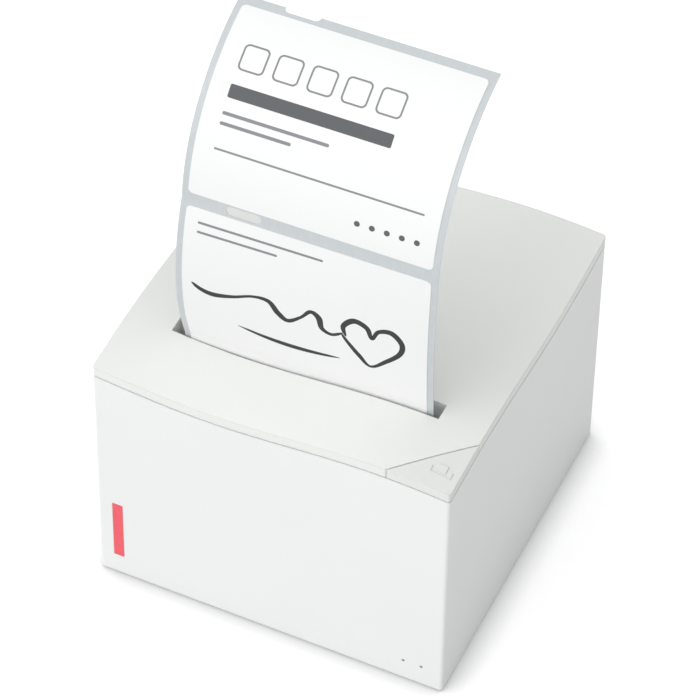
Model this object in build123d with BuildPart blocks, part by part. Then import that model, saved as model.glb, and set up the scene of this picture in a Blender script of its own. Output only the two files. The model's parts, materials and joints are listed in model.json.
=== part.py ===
from build123d import *
import math
import os

os.makedirs("parts", exist_ok=True)

# A desktop printer for sticky labels: a white box with a hinged, softly waved lid.
# Millimetres. +X is the object's right as seen from the front, -Y its front, +Z up.
# The origin is on the table, under the middle of the whole object.

# Casing
body_width = 115.0
body_depth = 116.0
lid_mean_height = 88.6      # from the casing's lower edge to the lid's mean surface
foot_standout = 0.8
wall = 2.2
corner_radius = 1.0
rim_height = 3.3            # the lid's visible edge, above the seam
seam_gap = 0.5
lid_plate = 2.2
lid_wall = 2.0

# The lid's surface: one wave across, one wave along, and a slight fall to the rear
wave_across = 1.8
wave_across_phase = -21.0
wave_along = 1.55
wave_along_phase = 192.4
lid_fall = 0.7
wave_margin = 4.0           # how far the drawn surface runs past the casing
wave_samples = 24

# Lid hinge, behind the rear wall
hinge_offset = 0.6          # hinge axis behind the rear face
hinge_height = 82.2         # hinge axis above the casing's lower edge
hinge_x = 36.0
knuckle_radius = 2.4
lid_knuckle_width = 10.0
base_knuckle_width = 5.0
knuckle_gap = 0.3
hinge_pin_radius = 1.0

# Lid slot and its liner
slot_length = 86.2
slot_width = 6.0
slot_setback = 23.7         # from the front face to the slot's front edge
liner_wall = 1.2
liner_depth = 9.0           # below the lid's mean surface
lip_gap = 0.3
lip_thickness = 1.2
lip_depth = 2.0
lip_free = 25.0             # no lip this near the rear face, where the lid turns

# Corner key, the front right corner of the lid
key_leg = 20.1
key_gap = 0.3
key_wall = 1.6
key_stroke = 0.4
icon_raise = 0.25
icon_line = 0.55

# Label strip, web and roll
strip_width = 80.0
strip_shift = 1.0           # the strip runs a little right of the middle
liner_thickness = 0.25
label_thickness = 0.15
label_margin = 2.0
label_gap = 4.5
label_tail = 3.0            # bare liner beyond the last label
hole_centre = -19.5         # sensing hole in the liner, across the strip
hole_length = 11.0
hole_width = 3.0
hole_end_width = 4.0        # at the torn end, where half of it shows
lower_length = 58.0         # from the slot to the gap between the labels
upper_length = 64.0
label_below_lip = 2.85      # the lower label's part still inside the slot
left_lip_gap = 0.6          # back of the strip behind the slot's front edge
right_lip_gap = 1.4
left_lean = 20.0            # degrees forward at the slot
right_lean = 5.0
curl_start = 5.0            # degrees backward above the gap
curl_end = 77.0
strip_lip_height = 92.0     # height at which the strip clears the lid
roll_radius = 28.0
roll_behind = 39.8          # roll's axis behind the platen's
roll_height = 36.0
core_radius = 13.0
core_wall = 1.6
hub_flange_radius = 17.0
hub_flange = 1.5
hub_plug = 8.0
spindle_radius = 3.0

# Platen roller and print head
platen_radius = 6.0
platen_length = 83.0
platen_core_radius = 3.0
platen_end_radius = 2.0
platen_setback = 8.0        # behind the slot's front edge
platen_height = 73.0
nip_lean = 18.0             # degrees below level at which the head meets the platen
web_clearance = 0.05
bush_radius = 4.0
head_width = 84.0
head_plate = 1.0
head_rise = 3.0             # head above the print line
head_drop = 9.0             # head below the print line
sink_plate = 3.0
sink_drop = 12.0
pivot_drop = 14.0
pivot_radius = 1.5
pivot_barrel = 3.0
bar_offset = 18.0           # cross bar from the platen's axis
bar_plate = 1.5
spring_radius = 3.0
spring_wire = 0.8
spring_x = 25.0

# Gears
gear_module = 1.0
platen_teeth = 18
idler_teeth = 28
pinion_teeth = 12
addendum = 0.85
dedendum = 1.15
tooth_pitch_width = 1.2     # tooth thickness on the pitch circle, thinned for backlash
tooth_taper = 0.36
gear_width = 4.0
gear_x = 47.8
idler_axle_radius = 1.5
pinion_angle = 225.0        # where the pinion sits round the idler

# Frame and motor
plate_x = 45.2              # inner face of a side plate
plate_sheet = 1.5
floor_sheet = 2.0
motor_radius = 12.5
motor_length = 18.0
motor_flange = 1.0
motor_ear_reach = 15.5
motor_boss_radius = 4.0
motor_shaft_radius = 1.0
arm_sheet = 2.2             # arms of the platen carrier
carrier_reach = 14.8        # carrier's rear edge behind the platen's axis
carrier_height = 80.0

# Board and rear
board_width = 80.0
board_low = 12.0
board_high = 68.0
board_sheet = 1.6
board_standoff = 8.0
jack_x = -26.0
port_x = -9.5
button_x = 24.0
button_radius = 4.5
button_stroke = 0.8
button_height = 22.0

# Small fits
running_fit = 0.05
snug_fit = 0.02
part_gap = 0.2
screw_radius = 1.25
screw_hole = 1.3

# Places that follow from the sizes above
half_width = body_width / 2
half_depth = body_depth / 2
body_centre_y = -(hinge_offset + knuckle_radius) / 2
front_y = body_centre_y - half_depth
back_y = body_centre_y + half_depth
mean_lid_top = foot_standout + lid_mean_height
wave_reach = wave_across + wave_along + lid_fall
lid_low = mean_lid_top - wave_reach - rim_height - 12
lid_high = mean_lid_top + wave_reach + 2
hinge_y = back_y + hinge_offset
hinge_z = foot_standout + hinge_height
slot_front = front_y + slot_setback
slot_back = slot_front + slot_width
platen_y = slot_front + platen_setback
carrier_y = platen_y + carrier_reach
web_radius = platen_radius + web_clearance
head_offset = web_radius + liner_thickness + web_clearance
sink_offset = head_offset + head_plate
pivot_offset = sink_offset + sink_plate / 2
strip_left = strip_shift - strip_width / 2
strip_right = strip_shift + strip_width / 2
platen_gear_radius = gear_module * platen_teeth / 2
idler_radius = gear_module * idler_teeth / 2
pinion_radius = gear_module * pinion_teeth / 2
idler_z = platen_height - platen_gear_radius - idler_radius
pinion_y = platen_y + (idler_radius + pinion_radius) * math.cos(math.radians(pinion_angle))
pinion_z = idler_z + (idler_radius + pinion_radius) * math.sin(math.radians(pinion_angle))
floor_top = foot_standout + floor_sheet
plate_out = plate_x + plate_sheet
inner_front = front_y + wall
inner_back = back_y - wall
inner_side = half_width - wall
board_back = inner_back - board_standoff
board_front = board_back - board_sheet
roll_y = platen_y + roll_behind

# The web leaves the roll, goes round a little of the platen and meets the head at the nip
run_back = roll_y - platen_y
rise = platen_height - roll_height
web_start_radius = roll_radius + 0.15
web_lean = math.degrees(
    math.acos((web_start_radius - web_radius) / math.hypot(run_back, rise)) - math.atan2(rise, run_back)
)


def body_plane(height):
    """Level plane at a height, centred on the casing."""
    return Plane((0, body_centre_y, height))


def lid_height(x, y):
    """Height of the lid's outer surface above the table."""
    across = math.radians(180 * x / half_width + wave_across_phase)
    along = math.radians(180 * (y - body_centre_y) / half_depth + wave_along_phase)
    fall = lid_fall * (y - body_centre_y) / half_depth
    return mean_lid_top + wave_across * math.sin(across) + wave_along * math.sin(along) - fall


def wavy_surface():
    """The lid's surface, drawn a little past the casing on every side."""
    reach_x = half_width + wave_margin
    reach_y = half_depth + wave_margin
    shares = [2 * i / wave_samples - 1 for i in range(wave_samples + 1)]
    rows = []
    for share_x in shares:
        x = reach_x * share_x
        ys = [body_centre_y + reach_y * share_y for share_y in shares]
        rows.append([Vector(x, y, lid_height(x, y)) for y in ys])
    return Face.make_surface_from_array_of_points(rows, tol=0.002)


lid_surface = wavy_surface()


def under_lid(drop, depth):
    """Layer under the lid's surface, from drop below it down by depth."""
    face = lid_surface.moved(Location((0, 0, -drop)))
    return Solid.extrude(face, Vector(0, 0, -depth))


def corner_cut(gap):
    """Triangle over the front right corner, its long side moved inwards by gap."""
    shift = gap * math.sqrt(2)
    past = 5.0
    left = half_width - key_leg - shift
    rear = -half_depth + key_leg + shift
    return [
        (left - past, -half_depth - past),
        (half_width + past, -half_depth - past),
        (half_width + past, rear + past),
    ]


def lid_layer(inset, gap, drop, depth):
    """The lid's outline without the key, drawn in by inset, as a layer under its surface."""
    with BuildPart() as layer:
        with BuildSketch(body_plane(lid_low)):
            RectangleRounded(
                body_width - 2 * inset,
                body_depth - 2 * inset,
                max(corner_radius - inset, 0.3),
            )
            Polygon(*corner_cut(gap + inset), align=None, mode=Mode.SUBTRACT)
        extrude(amount=lid_high - lid_low)
        add(under_lid(drop, depth), mode=Mode.INTERSECT)
    return layer.part


def key_layer(inset, drop, depth):
    """The key's triangle, drawn in by inset, as a layer under the lid's surface."""
    with BuildPart() as layer:
        with BuildSketch(body_plane(lid_low)):
            RectangleRounded(
                body_width - 2 * inset,
                body_depth - 2 * inset,
                max(corner_radius - inset, 0.3),
            )
            Polygon(*corner_cut(-inset), align=None, mode=Mode.INTERSECT)
        extrude(amount=lid_high - lid_low)
        add(under_lid(drop, depth), mode=Mode.INTERSECT)
    return layer.part


def block(low, high, mode=Mode.ADD):
    """Box between two corners, added to the part in hand."""
    middle = tuple((a + b) / 2 for a, b in zip(low, high))
    with Locations(middle):
        Box(*(b - a for a, b in zip(low, high)), mode=mode)


def rod_x(x_from, x_to, y, z, radius, mode=Mode.ADD):
    """Cylinder along X."""
    with Locations(((x_from + x_to) / 2, y, z)):
        Cylinder(radius, x_to - x_from, rotation=(0, 90, 0), mode=mode)


def rod_y(y_from, y_to, x, z, radius, mode=Mode.ADD):
    """Cylinder along Y."""
    with Locations((x, (y_from + y_to) / 2, z)):
        Cylinder(radius, y_to - y_from, rotation=(90, 0, 0), mode=mode)


def rod_z(z_from, z_to, x, y, radius, mode=Mode.ADD):
    """Cylinder along Z."""
    with Locations((x, y, (z_from + z_to) / 2)):
        Cylinder(radius, z_to - z_from, mode=mode)


# Base casing: four walls under a waved top edge
boss_x = half_width - 7.0
front_boss_y = front_y + 14.5
rear_boss_y = back_y - 8.5
boss_radius = 3.5
boss_top = 14.0
board_screw_x = board_width / 2 - 4
board_screw_low = board_low + 4
board_screw_high = board_high - 4
tag_width = 3.5
tag_height = 23.9
tag_centre_x = -half_width + 6.6
tag_low = foot_standout + 7.8
tag_depth = 0.8
lamp_inset = 7.0            # right lamp from the side face
lamp_step = 5.9
lamp_x = (half_width - lamp_inset - lamp_step, half_width - lamp_inset)
lamp_height = foot_standout + 7.9
light_pipe_radius = 0.45
jack_size = (9.0, 11.0)
port_size = (9.0, 3.4)
port_low = foot_standout + 15.2

with BuildPart() as base_shell:
    with BuildSketch(body_plane(foot_standout)):
        RectangleRounded(body_width, body_depth, corner_radius)
    extrude(amount=lid_high - foot_standout)
    add(under_lid(rim_height + seam_gap, lid_high), mode=Mode.INTERSECT)
    with BuildSketch(body_plane(foot_standout)):
        Rectangle(body_width - 2 * wall, body_depth - 2 * wall)
    extrude(amount=lid_high, mode=Mode.SUBTRACT)
    for x in (-boss_x, boss_x):
        for y in (front_boss_y, rear_boss_y):
            side = math.copysign(inner_side, x)
            low_x, high_x = min(x, side), max(x, side)
            block((low_x, y - 1, floor_top), (high_x, y + 1, boss_top))
            rod_z(floor_top, boss_top, x, y, boss_radius)
            rod_z(floor_top, boss_top - 1, x, y, screw_hole, mode=Mode.SUBTRACT)
    for x in (-board_screw_x, board_screw_x):
        for z in (board_screw_low, board_screw_high):
            rod_y(board_back, inner_back, x, z, boss_radius)
            rod_y(board_back, inner_back - 1, x, z, screw_hole, mode=Mode.SUBTRACT)
    block(
        (tag_centre_x - tag_width / 2, front_y, tag_low),
        (tag_centre_x + tag_width / 2, front_y + tag_depth, tag_low + tag_height),
        mode=Mode.SUBTRACT,
    )
    for x in lamp_x:
        rod_y(front_y, inner_front, x, lamp_height, light_pipe_radius + running_fit, mode=Mode.SUBTRACT)
    block(
        (jack_x - jack_size[0] / 2 - part_gap, inner_back, port_low - part_gap),
        (jack_x + jack_size[0] / 2 + part_gap, back_y, port_low + jack_size[1] + part_gap),
        mode=Mode.SUBTRACT,
    )
    block(
        (port_x - port_size[0] / 2 - part_gap, inner_back, port_low - part_gap),
        (port_x + port_size[0] / 2 + part_gap, back_y, port_low + port_size[1] + part_gap),
        mode=Mode.SUBTRACT,
    )
    rod_y(inner_back, back_y, button_x, button_height, button_radius + 0.1, mode=Mode.SUBTRACT)
    for middle in (-hinge_x, hinge_x):
        reach = lid_knuckle_width / 2 + knuckle_gap
        block(
            (middle - reach, inner_back, hinge_z - knuckle_radius - knuckle_gap),
            (middle + reach, back_y, lid_high),
            mode=Mode.SUBTRACT,
        )
        for near in (middle - reach - base_knuckle_width, middle + reach):
            far = near + base_knuckle_width
            block(
                (near, back_y - wall / 2, hinge_z - 2 * knuckle_radius),
                (far, hinge_y, hinge_z),
            )
            rod_x(near, far, hinge_y, hinge_z, knuckle_radius)
        rod_x(
            middle - reach - base_knuckle_width,
            middle + reach + base_knuckle_width,
            hinge_y,
            hinge_z,
            hinge_pin_radius + snug_fit,
            mode=Mode.SUBTRACT,
        )
base_shell.part.label = "base_shell"
export_step(base_shell.part, "parts/base_shell.step")

# Lid: a waved plate with a short rim, a cut corner, the slot and what hangs under it
lid_outer = lid_layer(0, key_gap, 0, rim_height)
lid_hollow = lid_layer(lid_wall, key_gap, lid_plate, rim_height)
lip_inset = wall + lip_gap
lip_outer = lid_layer(lip_inset, 3.0, lid_plate / 2, rim_height - lid_plate / 2 + lip_depth)
lip_hollow = lid_layer(lip_inset + lip_thickness, 3.0, lid_plate, rim_height + lip_depth)
carrier_screw_x = (-36.0, -12.0, 12.0, 36.0)
carrier_screw_y = platen_y + 10.0
carrier_top = carrier_height + arm_sheet
striker_inset = 7.5         # from the side face
striker_x = half_width - striker_inset
striker_width = 3.0
striker_setback = 14.5
striker_height = 76.0
striker_front = front_y + striker_setback
striker_low = foot_standout + striker_height
striker_lip = 2.1
striker_reach = 1.5
striker_sheet = 1.5

with BuildPart() as lid_lip:
    add(lip_outer)
    add(lip_hollow, mode=Mode.SUBTRACT)
    block((-half_width, back_y - lip_free, lid_low), (half_width, back_y, lid_high), mode=Mode.SUBTRACT)

with BuildPart() as lid_shell:
    add(lid_outer)
    add(lid_hollow, mode=Mode.SUBTRACT)
    add(lid_lip.part)
    block(
        (-slot_length / 2, slot_front, lid_low),
        (slot_length / 2, slot_back, lid_high),
        mode=Mode.SUBTRACT,
    )
    for x in carrier_screw_x:
        top = lid_height(x, carrier_screw_y) - lid_plate / 2
        rod_z(carrier_top, top, x, carrier_screw_y, boss_radius)
        rod_z(carrier_top, top - 1.5, x, carrier_screw_y, screw_hole, mode=Mode.SUBTRACT)
    tongue_front = striker_front + striker_reach
    tongue_back = tongue_front + striker_sheet
    tongue_top = lid_height(striker_x, tongue_front) - lid_plate / 2
    block(
        (striker_x - striker_width / 2, tongue_front, striker_low),
        (striker_x + striker_width / 2, tongue_back, tongue_top),
    )
    block(
        (striker_x - striker_width / 2, striker_front, striker_low),
        (striker_x + striker_width / 2, tongue_front, striker_low + striker_lip),
    )
    for middle in (-hinge_x, hinge_x):
        near = middle - lid_knuckle_width / 2
        far = middle + lid_knuckle_width / 2
        top = lid_height(middle, back_y) - rim_height / 2
        block((near, back_y - wall, hinge_z - 1), (far, hinge_y, top))
        rod_x(near, far, hinge_y, hinge_z, knuckle_radius)
        reach = lid_knuckle_width / 2 + knuckle_gap
        for start in (middle - reach - base_knuckle_width, middle + reach):
            block(
                (start - knuckle_gap, back_y - lid_wall - 1, hinge_z),
                (start + base_knuckle_width + knuckle_gap, back_y, hinge_z + knuckle_radius + knuckle_gap),
                mode=Mode.SUBTRACT,
            )
        rod_x(near, far, hinge_y, hinge_z, hinge_pin_radius + running_fit, mode=Mode.SUBTRACT)
lid_shell.part.label = "lid_shell"
export_step(lid_shell.part, "parts/lid_shell.step")

with BuildPart() as hinge_pins:
    reach = lid_knuckle_width / 2 + knuckle_gap + base_knuckle_width
    for middle in (-hinge_x, hinge_x):
        rod_x(middle - reach, middle + reach, hinge_y, hinge_z, hinge_pin_radius)
hinge_pins.part.label = "hinge_pins"
export_step(hinge_pins.part, "parts/hinge_pins.step")

# Liner of the slot, seated under the lid's plate
liner_low = mean_lid_top - liner_depth
liner_region = under_lid(lid_plate, lid_high)
with BuildPart() as slot_liner:
    block(
        (-slot_length / 2 - liner_wall, slot_front - liner_wall, liner_low),
        (slot_length / 2 + liner_wall, slot_back + liner_wall, lid_high),
    )
    block(
        (-slot_length / 2, slot_front, liner_low),
        (slot_length / 2, slot_back, lid_high),
        mode=Mode.SUBTRACT,
    )
    add(liner_region, mode=Mode.INTERSECT)
slot_liner.part.label = "slot_liner"
export_step(slot_liner.part, "parts/slot_liner.step")

# Corner key with its raised symbol: a sheet over a tray
key_outer = key_layer(0, 0, rim_height)
key_hollow = key_layer(key_wall, lid_plate, rim_height)
key_post_x = half_width - 5.2
key_post_y = front_y + 5.2
key_post_radius = 1.6
bracket_top = foot_standout + 73.2
bracket_low = foot_standout + 61.2
latch_x = striker_x
latch_y = front_y + 12.5
latch_z = foot_standout + 69.2
pusher_y = latch_y - 4.0
pad_top = latch_z + 5.95
pusher_low = pad_top + 0.1
tray_left = half_width - 9.0
tray_right = half_width - 2.6
tray_low = 5.0
tray_high = 7.0
sheet_left = tray_left + 1.7
sheet_right = tray_right - 1.7
sheet_low = 6.0
sheet_high = 8.8

with BuildPart() as icon:
    with BuildSketch(Plane.XY.offset(lid_low)):
        with Locations(((tray_left + tray_right) / 2, front_y + tray_low)):
            Rectangle(tray_right - tray_left + icon_line, icon_line)
        for x in (tray_left, tray_right):
            with Locations((x, front_y + (tray_low + tray_high) / 2)):
                Rectangle(icon_line, tray_high - tray_low + icon_line)
        with Locations(((sheet_left + sheet_right) / 2, front_y + (sheet_low + sheet_high) / 2)):
            Rectangle(sheet_right - sheet_left, sheet_high - sheet_low)
    extrude(amount=lid_high - lid_low)
    add(under_lid(-icon_raise, 2 * icon_raise), mode=Mode.INTERSECT)

with BuildPart() as corner_key:
    add(key_outer)
    add(key_hollow, mode=Mode.SUBTRACT)
    add(icon.part)
    post_top = lid_height(key_post_x, key_post_y) - lid_plate / 2
    rod_z(bracket_top - 6, post_top, key_post_x, key_post_y, key_post_radius)
    pusher_top = lid_height(latch_x, pusher_y) - lid_plate / 2
    block((latch_x - 1, pusher_y - 0.4, pusher_low), (latch_x + 1, pusher_y + 0.4, pusher_top))
corner_key.part.label = "corner_key"
export_step(corner_key.part, "parts/corner_key.step")

key_spring_top = lid_height(key_post_x, key_post_y) - lid_plate - 0.3
with BuildPart() as key_spring:
    rod_z(bracket_top, key_spring_top, key_post_x, key_post_y, key_post_radius + 1.1)
    rod_z(bracket_top, key_spring_top, key_post_x, key_post_y, key_post_radius + 0.4, mode=Mode.SUBTRACT)
key_spring.part.label = "key_spring"
export_step(key_spring.part, "parts/key_spring.step")

# Bracket in the front right corner: guides the key and carries the latch
bracket_left = plate_out + 0.4
bracket_back = latch_y + 3.5
with BuildPart() as key_bracket:
    block((bracket_left, inner_front, bracket_low), (inner_side, bracket_back, bracket_top))
    rod_z(
        bracket_low + 2,
        bracket_top,
        key_post_x,
        key_post_y,
        key_post_radius + running_fit,
        mode=Mode.SUBTRACT,
    )
    block(
        (latch_x - 1.2, latch_y - 6.5, bracket_low + 2),
        (latch_x + 1.2, bracket_back, bracket_top),
        mode=Mode.SUBTRACT,
    )
    rod_x(bracket_left, latch_x + 4, latch_y, latch_z, 1.0 + snug_fit, mode=Mode.SUBTRACT)
key_bracket.part.label = "key_bracket"
export_step(key_bracket.part, "parts/key_bracket.step")

with BuildPart() as latch_pin:
    rod_x(bracket_left, latch_x + 4, latch_y, latch_z, 1.0)
latch_pin.part.label = "latch_pin"
export_step(latch_pin.part, "parts/latch_pin.step")

# Latch lever: the key pushes its front arm down, and its hook swings forward off the striker
hook_bite = 0.8
hook_low = striker_low + striker_lip + 0.4
hook_high = hook_low + 2.0
hook_tip = striker_front + hook_bite
with BuildPart() as latch_lever:
    with BuildSketch(Plane.YZ.offset(latch_x - 1)):
        with Locations((latch_y, latch_z)):
            Circle(3)
        with BuildLine():
            Polyline(
                (latch_y - 4.7, pad_top),
                (latch_y - 4.7, pad_top - 3.0),
                (latch_y - 2.0, latch_z - 2.0),
                (latch_y + 2.0, latch_z),
                (latch_y - 0.4, hook_low),
                (hook_tip, hook_low),
                (hook_tip - 0.6, hook_high),
                (latch_y - 2.4, hook_high),
                (latch_y - 2.4, pad_top),
                close=True,
            )
        make_face()
    extrude(amount=2)
    rod_x(latch_x - 1, latch_x + 1, latch_y, latch_z, 1.0 + running_fit, mode=Mode.SUBTRACT)
latch_lever.part.label = "latch_lever"
export_step(latch_lever.part, "parts/latch_lever.step")

# Bottom cover with its feet and screws
foot_radius = 6.0
foot_sink = 0.6
foot_x = half_width - 17.5
front_foot_y = front_y + 11.5
rear_foot_y = back_y - 12.5
screw_head_radius = 2.6
screw_head = 1.1
screw_sink = 1.3
plate_screw_x = plate_out + 3.5
plate_screw_ys = (roll_y - 42.0, roll_y + 2.0)
flange_front = roll_y - 50.0
flange_back = roll_y + 10.0
flange_out = plate_out + 6.5

with BuildPart() as base_plate:
    with BuildSketch(body_plane(foot_standout)):
        Rectangle(2 * (inner_side - part_gap), 2 * (half_depth - wall - part_gap))
    extrude(amount=floor_sheet)
    for x in (-foot_x, foot_x):
        for y in (front_foot_y, rear_foot_y):
            rod_z(foot_standout, foot_standout + foot_sink, x, y, foot_radius + 0.1, mode=Mode.SUBTRACT)
    for x in (-boss_x, boss_x):
        for y in (front_boss_y, rear_boss_y):
            rod_z(foot_standout, floor_top, x, y, screw_hole, mode=Mode.SUBTRACT)
            rod_z(
                foot_standout,
                foot_standout + screw_sink,
                x,
                y,
                screw_head_radius + 0.2,
                mode=Mode.SUBTRACT,
            )
    for x in (-plate_screw_x, plate_screw_x):
        for y in plate_screw_ys:
            rod_z(foot_standout, floor_top, x, y, screw_hole, mode=Mode.SUBTRACT)
    for x in (lamp_x[0] - 3.6, lamp_x[1] + 1.4):
        block((x, inner_front + 2.7, floor_top), (x + 2, inner_front + 4.7, floor_top + 9))
base_plate.part.label = "base_plate"
export_step(base_plate.part, "parts/base_plate.step")

with BuildPart() as rubber_feet:
    for x in (-foot_x, foot_x):
        for y in (front_foot_y, rear_foot_y):
            rod_z(0, foot_standout + foot_sink, x, y, foot_radius)
rubber_feet.part.label = "rubber_feet"
export_step(rubber_feet.part, "parts/rubber_feet.step")

with BuildPart() as base_screws:
    for x in (-boss_x, boss_x):
        for y in (front_boss_y, rear_boss_y):
            head_low = foot_standout + screw_sink - screw_head
            rod_z(head_low, foot_standout + screw_sink, x, y, screw_head_radius)
            rod_z(head_low, boss_top - 3, x, y, screw_radius)
base_screws.part.label = "base_screws"
export_step(base_screws.part, "parts/base_screws.step")

# Red tag and lamps on the front
with BuildPart() as red_tag:
    block(
        (tag_centre_x - tag_width / 2 + running_fit, front_y, tag_low + running_fit),
        (tag_centre_x + tag_width / 2 - running_fit, front_y + tag_depth, tag_low + tag_height - running_fit),
    )
red_tag.part.label = "red_tag"
export_step(red_tag.part, "parts/red_tag.step")

with BuildPart() as light_pipes:
    for x in lamp_x:
        rod_y(front_y + 0.1, inner_front + 0.6, x, lamp_height, light_pipe_radius)
light_pipes.part.label = "light_pipes"
export_step(light_pipes.part, "parts/light_pipes.step")

with BuildPart() as lamp_board:
    block(
        (lamp_x[0] - 3.6, inner_front + 1.3, floor_top + 0.5),
        (lamp_x[1] + 3.4, inner_front + 2.7, floor_top + 10),
    )
    for x in lamp_x:
        block((x - 0.8, inner_front + 0.7, lamp_height - 0.8), (x + 0.8, inner_front + 1.3, lamp_height + 0.8))
lamp_board.part.label = "lamp_board"
export_step(lamp_board.part, "parts/lamp_board.step")

# Planes of the print line and of the web below it
lean = math.radians(nip_lean)
nip_plane = Plane(
    origin=(0, platen_y, platen_height),
    x_dir=(1, 0, 0),
    z_dir=(0, -math.cos(lean), -math.sin(lean)),
)
web_plane = Plane(
    origin=(0, platen_y, platen_height),
    x_dir=(1, 0, 0),
    z_dir=(0, -math.cos(math.radians(web_lean)), -math.sin(math.radians(web_lean))),
)
pivot = nip_plane.from_local_coords(Vector(0, -pivot_drop, pivot_offset))


def web_normal(degrees):
    """Direction from the paper to its printed side, for a paper leaning forward by degrees."""
    return -math.cos(math.radians(degrees)), -math.sin(math.radians(degrees))


def stretch(start, lean_from, lean_to, length):
    """One stretch of paper: even bend from one lean to another. Gives points on it."""
    bend = math.radians(lean_to - lean_from) / length

    def at(share, offset, joint_lean=None):
        degrees = lean_from + (lean_to - lean_from) * share
        y, z = start
        if abs(bend) < 1e-6:
            y -= math.sin(math.radians(lean_from)) * length * share
            z += math.cos(math.radians(lean_from)) * length * share
        else:
            y += (math.cos(math.radians(degrees)) - math.cos(math.radians(lean_from))) / bend
            z += (math.sin(math.radians(degrees)) - math.sin(math.radians(lean_from))) / bend
        normal = web_normal(degrees if joint_lean is None else joint_lean)
        return y + normal[0] * offset, z + normal[1] * offset

    at.lean_from = lean_from
    at.lean_to = lean_to
    at.length = length
    at.straight = abs(bend) < 1e-6
    return at


def strip_path(lip_inset_y, lean_at_slot):
    """One edge of the strip: round the platen, up through the slot, and two curved labels."""
    lip = (slot_front + lip_inset_y, strip_lip_height)
    forward = platen_y - lip[0]
    up = lip[1] - platen_height
    away = math.hypot(forward, up)
    exit_lean = math.degrees(math.atan2(forward, up) - math.asin(web_radius / away))
    nip = web_normal(nip_lean)
    nip_point = (platen_y + nip[0] * web_radius, platen_height + nip[1] * web_radius)
    wrap = stretch(nip_point, nip_lean, exit_lean, web_radius * math.radians(nip_lean - exit_lean))
    run = stretch(wrap(1, 0), exit_lean, exit_lean, math.sqrt(away**2 - web_radius**2))
    lower = stretch(run(1, 0), lean_at_slot, -lean_at_slot, lower_length)
    upper = stretch(lower(1, 0), -curl_start, -curl_end, upper_length)
    return wrap, run, lower, upper


left_path = strip_path(left_lip_gap, left_lean)
right_path = strip_path(right_lip_gap, right_lean)


def paper_outline(x, pieces, back, front):
    """Thin outline of paper seen from the side, along stretches given with their shares."""
    with BuildSketch(Plane.YZ.offset(x)) as outline:
        with BuildLine():
            corners = []
            for index, (at, begin, end) in enumerate(pieces):
                joint_low = None
                joint_high = None
                if index > 0:
                    joint_low = (at.lean_from + pieces[index - 1][0].lean_to) / 2
                if index < len(pieces) - 1:
                    joint_high = (at.lean_to + pieces[index + 1][0].lean_from) / 2
                for offset in (back, front):
                    first = at(begin, offset, joint_low)
                    last = at(end, offset, joint_high)
                    if at.straight:
                        Line(first, last)
                    else:
                        ThreePointArc(first, at((begin + end) / 2, offset), last)
                    corners.append((first, last))
            Line(corners[0][0], corners[1][0])
            Line(corners[-2][1], corners[-1][1])
        make_face()
    return outline.sketch.face()


def lower_span(path):
    """Shares of the straight run and of the lower curve that the lower label covers."""
    run, lower = path[1], path[2]
    return [(run, 1 - label_below_lip / run.length, 1), (lower, 0, 1 - label_gap / 2 / lower_length)]


def upper_span(path):
    """Shares of the upper curve that the upper label covers."""
    return [(path[3], label_gap / 2 / upper_length, 1 - label_tail / upper_length)]


def blended_path(share):
    """The strip's path between its two edges, at a share of the way from left to right."""
    lip = left_lip_gap + (right_lip_gap - left_lip_gap) * share
    return strip_path(lip, left_lean + (right_lean - left_lean) * share)


# Label strip, from the print line up and out of the slot, and the labels on it.
# A sensing hole is cut in the gap between two labels, and half of one at the torn end.
hole_share = (hole_centre - strip_left) / strip_width
hole_path = blended_path(hole_share)
gap_y, gap_z = hole_path[2](1, 0)
end_y, end_z = hole_path[3](1, 0)
with BuildPart() as label_strip:
    loft(
        [
            paper_outline(strip_left, [(at, 0, 1) for at in left_path], 0, liner_thickness),
            paper_outline(strip_right, [(at, 0, 1) for at in right_path], 0, liner_thickness),
        ],
        ruled=True,
    )
    with BuildSketch(Plane.XZ.offset(-gap_y - hole_length / 2)):
        with Locations((hole_centre, gap_z)):
            SlotOverall(hole_length, hole_width)
    extrude(amount=hole_length, mode=Mode.SUBTRACT)
    with BuildSketch(Plane.XY.offset(end_z - hole_length / 2)):
        with Locations((hole_centre, end_y)):
            SlotOverall(hole_length, hole_end_width)
    extrude(amount=hole_length, mode=Mode.SUBTRACT)
label_strip.part.label = "label_strip"
export_step(label_strip.part, "parts/label_strip.step")

label_left = strip_left + label_margin
label_right = strip_right - label_margin
left_share = label_margin / strip_width

label_back = liner_thickness + 0.01
label_front = label_back + label_thickness
near_path = blended_path(left_share)
far_path = blended_path(1 - left_share)
with BuildPart() as lower_label:
    loft(
        [
            paper_outline(label_left, lower_span(near_path), label_back, label_front),
            paper_outline(label_right, lower_span(far_path), label_back, label_front),
        ],
        ruled=True,
    )
lower_label.part.label = "lower_label"
export_step(lower_label.part, "parts/lower_label.step")

with BuildPart() as upper_label:
    loft(
        [
            paper_outline(label_left, upper_span(near_path), label_back, label_front),
            paper_outline(label_right, upper_span(far_path), label_back, label_front),
        ],
        ruled=True,
    )
upper_label.part.label = "upper_label"
export_step(upper_label.part, "parts/upper_label.step")

# Web of labels between the roll and the print line
start_normal = web_normal(web_lean)
web_start = (roll_y + start_normal[0] * web_start_radius, roll_height + start_normal[1] * web_start_radius)
web_reach = math.sqrt(math.hypot(run_back, rise) ** 2 - (web_start_radius - web_radius) ** 2)
web_run = stretch(web_start, web_lean, web_lean, web_reach)
web_wrap = stretch(web_run(1, 0), web_lean, nip_lean, web_radius * math.radians(web_lean - nip_lean))
with BuildPart() as label_web:
    web_pieces = [(web_run, 0, 1), (web_wrap, 0, 1)]
    extrude(paper_outline(strip_left, web_pieces, 0, liner_thickness), amount=strip_width)
label_web.part.label = "label_web"
export_step(label_web.part, "parts/label_web.step")

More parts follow.
